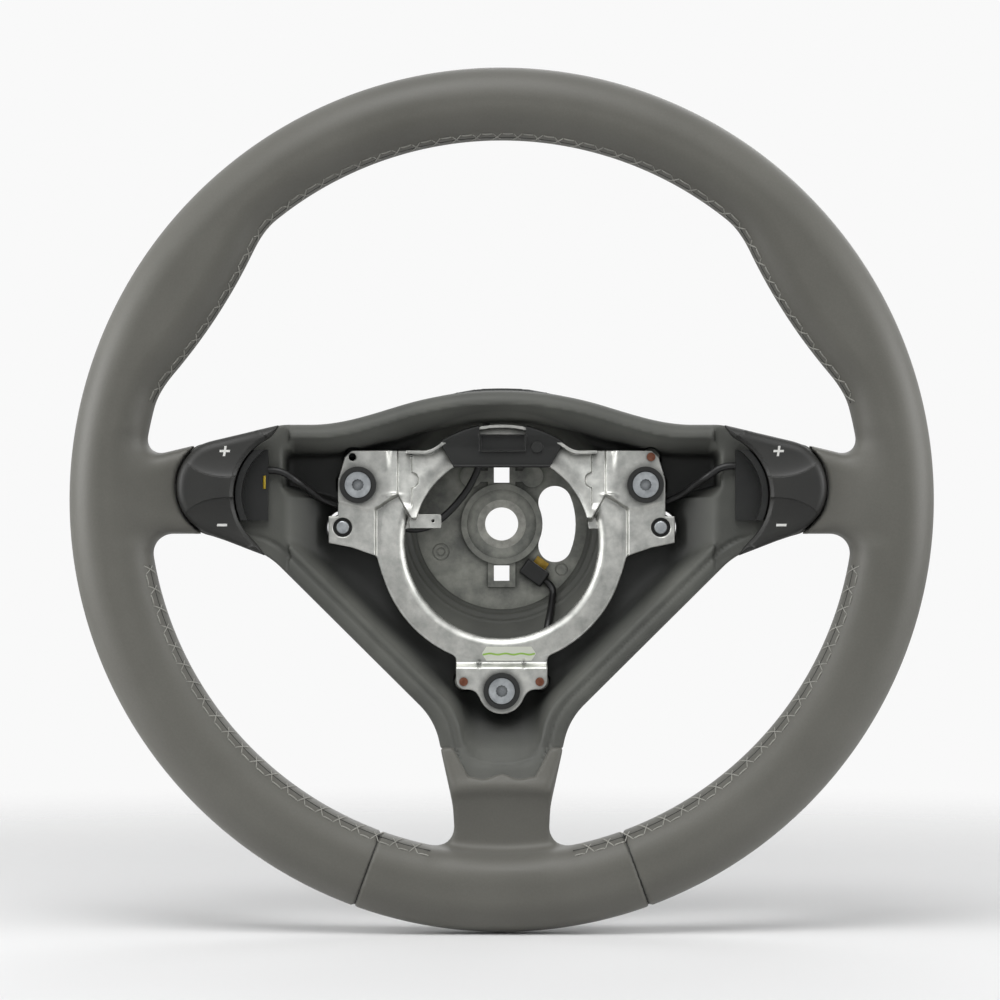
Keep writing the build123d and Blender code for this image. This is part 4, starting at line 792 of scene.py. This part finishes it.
def rocker(x, y, z_axis):
    """One rocker cap, drawn for both sides at once."""
    h = -y
    z = z_axis - RIM_LIFT
    side = np.abs(x)
    dx, dz = side - ROCKER_AT[0], z - ROCKER_AT[1]
    turn = np.clip(np.arctan2(dz, dx), *ROCKER_TURN)
    outer = ROCKER_R - dx * np.cos(turn) - dz * np.sin(turn)
    outer = soft_min(outer, beside(side, z, ROCKER_TIP[0], ROCKER_TOP), 1.0)
    tip = beside(side, z, ROCKER_TIP[1], ROCKER_TIP[0])
    heel = beside(side, z, ROCKER_HEEL[1], ROCKER_HEEL[0])
    ends = np.where(z > 14.0, tip, np.where(z < -8.0, heel, 50.0))
    inner = soft_min(np.hypot(side - HOLLOW[0], z - HOLLOW[1]) - HOLLOW[2], ends, 1.0)
    top = rocker_front(side, z) - h
    cap = round_min(outer, top, 4.2)
    cap = np.minimum(cap, np.minimum(inner, (inner + top - 1.5) * 0.707))
    cap = np.minimum(cap, h - ROCKER_BACK)
    room = np.minimum(np.minimum(outer, inner) - 2.2, 72.0 - h)
    return np.minimum(cap, -room)


ROCKER_STEP = 0.55
for name, low, high in (("left", -144.0, -95.0), ("right", 95.0, 144.0)):
    cap = skin(f"{name}_rocker_cap", rocker, (low, -78, -16), (high, -63.5, 46), ROCKER_STEP, soft_touch)
    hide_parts(f"{name}_shift_rocker")
    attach(cap, f"{name}_rocker")

# %% [markdown]
# ## Signs on the rockers
# A plus and a minus are printed on each rocker in white. They follow the dished surface, a twentieth
# of a millimetre above it. The plain ridge between them stays bare.

# %% Printed signs
SIGN_LIFT = 0.06
SLANT = 0.16
PLUS_AT, MINUS_AT = (121.2, 21.3), (122.4, -11.1)


def stroke(points, faces, middle, length, width, upright):
    """Add one printed stroke that lies on the rocker's front."""
    cuts = 8
    first = len(points)
    for i in range(cuts + 1):
        along = (i / cuts - 0.5) * length
        for across in (-width / 2, width / 2):
            u, v = (across, along) if upright else (along, across)
            x, z = middle[0] + u + SLANT * v, middle[1] + v
            height = float(rocker_front(np.array(abs(x)), np.array(z)))
            points.append((x, -height - SIGN_LIFT, z + RIM_LIFT))
    for i in range(cuts):
        a = first + 2 * i
        faces.append((a, a + 2, a + 3, a + 1) if not upright else (a, a + 1, a + 3, a + 2))


for name, turn in (("left", -1), ("right", 1)):
    points, faces = [], []
    stroke(points, faces, (turn * PLUS_AT[0], PLUS_AT[1]), 4.5, 1.0, False)
    stroke(points, faces, (turn * PLUS_AT[0], PLUS_AT[1]), 4.5, 1.0, True)
    stroke(points, faces, (turn * MINUS_AT[0], MINUS_AT[1]), 4.4, 1.1, False)
    mesh_piece(f"{name}_signs", points, faces, white_ink, f"{name}_rocker")

# %% [markdown]
# ## Contact bridge
# The black bridge snaps over the plate's top. A slot shows the sheet's turned-up edge, small frames
# guide the contact wires and a thin lip closes its lower side.

# %% Bridge piece
def bridge(x, y, z):
    """Black bridge with its slot and frames."""
    h = -y
    side = np.abs(x)
    plan = np.minimum(49.2 - np.hypot(x, z + 4.0), z - 25.3)
    plan = np.minimum(plan, -beside(side, z, (20.8, 24.5), (26.4, 34.0)))
    front = 53.4 - 0.9 * step(37.0 - z, 6.0)
    body = round_min(plan, front - h, 1.2)
    lip = np.minimum(np.minimum(plan, 26.4 - z), 54.4 - h)
    frame_top = np.minimum(10.4 - np.abs(x - 0.4), np.minimum(z - 32.2, 40.0 - z))
    off_bar = np.minimum(np.abs(x + 2.0), np.minimum(np.abs(x + 9.4), np.abs(x - 10.2)))
    bars = np.minimum(frame_top, 0.55 - np.minimum(np.abs(z - 32.8), off_bar))
    bars = np.minimum(bars, 54.5 - h)
    boss = np.minimum(2.5 - np.hypot(x - 15.7, z - 34.2), 54.0 - h)
    body = np.maximum(np.maximum(body, lip), np.maximum(bars, boss))
    slot = np.minimum(10.3 - np.abs(x - 0.4), z - 40.0)
    pit = np.minimum(frame_top - 0.6, h - 51.2)
    body = np.minimum(body, -np.maximum(slot, np.minimum(pit, 0.6 - bars)))
    return np.minimum(body, h - 49.0)


bridge_piece = skin("black_bridge", bridge, (-29, -55.5, 23.5), (29, -48.0, 46.5), PLATE_STEP, nylon)
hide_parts("contact_bridge")
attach(bridge_piece, "horn_carrier")

# %% [markdown]
# ## Stitching
# The wrap is closed along the rim's inner edge with a cross stitch: one straight stitch on the front,
# then a thread that crosses over the seam and back. Each thread is a thin tube laid on the section's
# circle, so it needs only its place along the edge and its angle round the section.

# %% Stitches
def tube(points, faces, path, radius, sides=6):
    """Add a tube with closed ends along a path of points."""
    path = [Vector(p) for p in path]
    first = len(points)
    for i, at in enumerate(path):
        way = (path[min(i + 1, len(path) - 1)] - path[max(i - 1, 0)]).normalized()
        across = way.orthogonal().normalized() if i == 0 else (across - way * across.dot(way)).normalized()
        other = way.cross(across)
        for k in range(sides):
            a = 2 * pi * k / sides
            points.append(tuple(at + radius * (across * cos(a) + other * sin(a))))
    for i in range(len(path) - 1):
        for k in range(sides):
            a, b = first + i * sides + k, first + i * sides + (k + 1) % sides
            faces.append((a, b, b + sides, a + sides))
    faces.append(tuple(first + k for k in reversed(range(sides))))
    faces.append(tuple(first + (len(path) - 1) * sides + k for k in range(sides)))


def rim_edge(angles, window):
    """Points of a window's edge on the rim, found by stepping out along each angle."""
    low, high = np.full(len(angles), 100.0), np.full(len(angles), 175.0)
    for _ in range(40):
        middle = (low + high) / 2
        is_open = window(middle * np.cos(angles), middle * np.sin(angles)) > 0
        low, high = np.where(is_open, middle, low), np.where(is_open, high, middle)
    return np.stack([low * np.cos(angles), low * np.sin(angles)], 1)


STITCH_PITCH = 8.7
THREAD_R, SEAM_R = 0.34, 0.28
points, faces, seam_points, seam_faces = [], [], [], []


def sew(start, end, window, row, groove):
    """Sew along the rim's inner edge between two angles; rows are angles round the section."""
    angles = np.radians(np.linspace(start, end, 700))
    edge = rim_edge(angles, window)
    run = np.concatenate([[0], np.cumsum(np.hypot(*np.diff(edge, axis=0).T))])
    tangent = np.gradient(edge, axis=0)
    tangent /= np.hypot(*tangent.T)[:, None]
    outward = np.stack([-tangent[:, 1], tangent[:, 0]], 1)
    outward *= np.sign((outward * edge).sum(1))[:, None]

    def on_wrap(s, turn, lift):
        ex, ez = np.interp(s, run, edge[:, 0]), np.interp(s, run, edge[:, 1])
        nx, nz = np.interp(s, run, outward[:, 0]), np.interp(s, run, outward[:, 1])
        off = RIM_HALF - (RIM_HALF + lift) * cos(turn)
        return (ex + nx * off, -RIM_PLANE - (RIM_HALF + lift) * sin(turn), ez + nz * off + RIM_LIFT)

    def thread_between(a, b, radius, rise):
        path = []
        for i in range(6):
            t = i / 5
            lift = rise * sin(pi * t) ** 0.7 - 0.12
            path.append(on_wrap(a[0] + t * (b[0] - a[0]), a[1] + t * (b[1] - a[1]), lift))
        tube(points, faces, path, radius)

    count = int(run[-1] // STITCH_PITCH)
    for i in range(count):
        s = run[-1] * i / count
        pitch = run[-1] / count
        thread_between((s + 0.46 * pitch, row), (s + 0.95 * pitch, row), THREAD_R, 0.3)
        thread_between((s + 0.0 * pitch, row + 0.02), (s + 0.58 * pitch, 0.1), THREAD_R * 0.85, 0.25)
        thread_between((s + 0.06 * pitch, groove * 0.7), (s + 0.42 * pitch, row), THREAD_R * 0.75, 0.12)
    # A thin dark tube sunk in the seam's groove between the rows is painted shade in the gap.
    seam = [on_wrap(s, groove, -0.1) for s in np.linspace(0, run[-1], 3 * count)]
    tube(seam_points, seam_faces, seam, SEAM_R)


ROWS = {"upper": (radians(33), radians(20)), "lower": (radians(43), radians(29))}
sew(15.5, 164.5, upper_gap, *ROWS["upper"])
sew(-10.5, -78.5, lower_gap, *ROWS["lower"])
sew(-169.5, -101.5, lower_gap, *ROWS["lower"])
mesh_piece("rim_stitches", points, faces, thread, "wheel", smooth=True)
mesh_piece("rim_seam_lines", seam_points, seam_faces, seam_gap_shade, "wheel", smooth=True)
print("stitch faces", len(faces))

# %% [markdown]
# ## Small marks
# The casting's floor shows the rings that the mould's ejector pins leave, and a short yellow wire end
# lies on the left holder. Both are thin tubes, like the threads.

# %% Small marks
HUB_FLOOR, HOLDER_FRONT = 18.0, 62.5
EJECTORS = ((-27.4, -12.6, 3.6), (-27.4, -12.6, 1.7), (27.0, -20.5, 2.6))
ring_points, ring_faces = [], []
turn = np.linspace(0, 2 * pi, 49)
for x, z, r in EJECTORS:
    ring = np.stack([x + r * np.cos(turn), 0 * turn - HUB_FLOOR, z + r * np.sin(turn)], 1)
    tube(ring_points, ring_faces, ring, 0.22)
mesh_piece("ejector_rings", ring_points, ring_faces, cast, "wheel", smooth=True)
wire_points, wire_faces = [], []
tube(wire_points, wire_faces, [(-104.6, -HOLDER_FRONT - 0.3, z) for z in (15.8, 18.0, 20.0, 21.6)], 0.6, 10)
mesh_piece("yellow_wire_end", wire_points, wire_faces, yellow_pvc, "wheel", smooth=True)

# %% [markdown]
# ## Butt seams
# Where the two panels meet at the bottom, a dark slice lies in the groove: painted shade in the gap
# between the panels. It is the wrap's own section, a little smaller, cut to a narrow slice at each seam.

# %% Butt seam pieces
SEAM_STEP = 0.6
# Each dark slice is painted shade in the groove where the panels meet.
for name, low, high in (("left", -68.0, -42.0), ("right", 42.0, 68.0)):
    slice_piece = skin(
        f"{name}_butt_seam", lambda x, y, z: np.minimum(wrap(x, y, z) - 0.9, 0.8 - np.abs(seam_side(x, z))),
        (low, -82, -176), (high, -50, -122), SEAM_STEP, seam_gap_shade)
    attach(slice_piece, "wheel")

# %% [markdown]
# ## Leads
# Three leads show: one from each rocker holder and the earth lead in the hub. A real one is copper
# wire in a sheath that bends gently between the places that hold it. Each curve follows the route
# points of its modelled tube, given as x, height above the hub's seat and z.

# %% Leads
ROUTES = {
    "left_pod_lead": (
        (-103, 61.8, 24), (-97.5, 61.8, 24), (-91, 61.2, 19.5), (-86, 53, 15.5), (-80, 46, 11), (-72, 43, 8),
        (-60, 42.5, 5.5), (-46, 41, -2), (-33, 37.5, -2.5), (-21, 36.5, 7.5), (-12, 37.5, 20), (-8, 40, 34),
        (-6.5, 42, 46), (-6.5, 42.5, 55)),
    "right_pod_lead": (
        (103, 61.8, 26), (97.5, 61.8, 26), (91, 61.2, 21.5), (86, 53, 17.5), (80, 46, 13), (73, 43.2, 10),
        (66, 42.5, 8.2), (61, 41, 5), (59.3, 37.2, 3.2)),
    "ground_lead": (
        (19.56, 21.2, -25.53), (23.61, 21.2, -28.47), (22.6, 25.5, -34.6), (21.8, 34, -39.5),
        (20.2, 41, -46.5), (19.5, 43.2, -54), (18.8, 41.5, -60), (18.6, 37.5, -61.5)),
}
LEAD_R = 1.6
for node, route in ROUTES.items():
    data = bpy.data.curves.new(node, "CURVE")
    data.dimensions = "3D"
    data.bevel_depth = LEAD_R * MM
    data.bevel_resolution = 4
    data.use_fill_caps = True
    data.materials.append(pvc)
    spline = data.splines.new("NURBS")
    spline.points.add(len(route) - 1)
    for point, (x, height, z) in zip(spline.points, route):
        point.co = (x * MM, -height * MM, z * MM, 1)
    spline.order_u = 3
    spline.use_endpoint_u = True
    spline.resolution_u = 10
    made = bpy.data.objects.new(f"{node}_curve", data)
    bpy.context.scene.collection.objects.link(made)
    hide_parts(node)
    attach(made, "wheel")

# %% [markdown]
# ## Floor
# The wheel stands upright on a pale floor that keeps its soft shadow. Away from the wheel the floor
# turns clear, so that it fades out into the white room without an edge.

# %% Floor
FLOOR_R, FADE_R = 900.0, 270.0
floor_paint, shader, place = finish("pale_floor_paint", Roughness=0.9)
shader.inputs["Base Color"].default_value = linear("e4e4e4")
span = add(floor_paint, "ShaderNodeVectorMath", {"operation": "LENGTH"}, {0: place}).outputs["Value"]
fade = add(
    floor_paint, "ShaderNodeMapRange",
    {"interpolation_type": "SMOOTHSTEP", "From Min": FADE_R * MM, "From Max": FLOOR_R * MM}, {"Value": span})
clear = add(floor_paint, "ShaderNodeBsdfTransparent")
faded = add(floor_paint, "ShaderNodeMixShader", links={
    0: fade.outputs["Result"], 1: shader.outputs[0], 2: clear.outputs[0]})
surface = floor_paint.node_tree.nodes["Material Output"]
floor_paint.node_tree.links.new(faded.outputs[0], surface.inputs["Surface"])
floor_mesh = bpy.data.meshes.new("floor")
reach = FLOOR_R * MM
corners = [(-reach, -reach, 0), (reach, -reach, 0), (reach, reach, 0), (-reach, reach, 0)]
floor_mesh.from_pydata(corners, [], [(0, 1, 2, 3)])
floor_mesh.materials.append(floor_paint)
floor = bpy.data.objects.new("floor", floor_mesh)
floor.location = (0, -RIM_PLANE * MM, (RIM_LIFT - RIM_DIAMETER / 2 - 0.5) * MM)
bpy.context.scene.collection.objects.link(floor)
print("floor at", round(floor.location.z / MM, 1), "mm")

# %% [markdown]
# ## Light
# One wide lamp above and in front gives the photograph's soft light from the top, and weaker lamps
# open up the sides and the back. The world shows white to the camera and only fills the shadows a
# little. Bright metal mirrors it, so for reflections it darkens downwards as a room does.

# %% World and lamps
world = bpy.data.worlds.new("studio")
bpy.context.scene.world = world
world.use_nodes = True
for old in list(world.node_tree.nodes):
    world.node_tree.nodes.remove(old)
paths = add(world, "ShaderNodeLightPath")
straight = add(
    world, "ShaderNodeMath", {"operation": "MAXIMUM"},
    {0: paths.outputs["Is Camera Ray"], 1: paths.outputs["Is Transmission Ray"]})
fill = add(world, "ShaderNodeBackground", {"Color": linear("f3f5f7"), "Strength": 0.16})
sight = add(world, "ShaderNodeTexCoord")
way = add(world, "ShaderNodeSeparateXYZ", links={0: sight.outputs["Generated"]})
level = add(
    world, "ShaderNodeMapRange", {"From Min": -0.25, "From Max": 0.35, "To Min": 0.25, "To Max": 1.1},
    {"Value": way.outputs["Z"]})
ceiling = add(
    world, "ShaderNodeBackground", {"Color": linear("f6f7f8")}, {"Strength": level.outputs["Result"]})
sky = add(world, "ShaderNodeBackground", {"Color": linear("f9f9f9"), "Strength": 1.0})
lit = add(
    world, "ShaderNodeMixShader",
    links={0: paths.outputs["Is Glossy Ray"], 1: fill.outputs[0], 2: ceiling.outputs[0]})
mixed = add(
    world, "ShaderNodeMixShader", links={0: straight.outputs[0], 1: lit.outputs[0], 2: sky.outputs[0]})
add(world, "ShaderNodeOutputWorld", links={"Surface": mixed.outputs[0]})


def lamp(name, place, aim, size, power, shine=1.0):
    """A square soft lamp that points at a spot; shine is its share in the highlights."""
    data = bpy.data.lights.new(name, "AREA")
    data.size = size
    data.energy = power
    data.specular_factor = shine
    made = bpy.data.objects.new(name, data)
    made.location = place
    made.rotation_euler = (Vector(aim) - Vector(place)).to_track_quat("-Z", "Y").to_euler()
    bpy.context.scene.collection.objects.link(made)


lamp("top_lamp", (-0.15, -0.8, 1.3), (0, 0, 0), 0.9, 15.0, 0.35)
lamp("left_lamp", (-0.85, -0.27, 0.15), (0, 0, 0.02), 0.5, 5.4)
lamp("right_lamp", (0.85, -0.27, 0.15), (0, 0, 0.02), 0.5, 4.6)
lamp("back_lamp", (0.5, 1.6, 1.2), (0, 0, 0), 1.4, 10.0)
bpy.context.scene.view_settings.view_transform = "Standard"
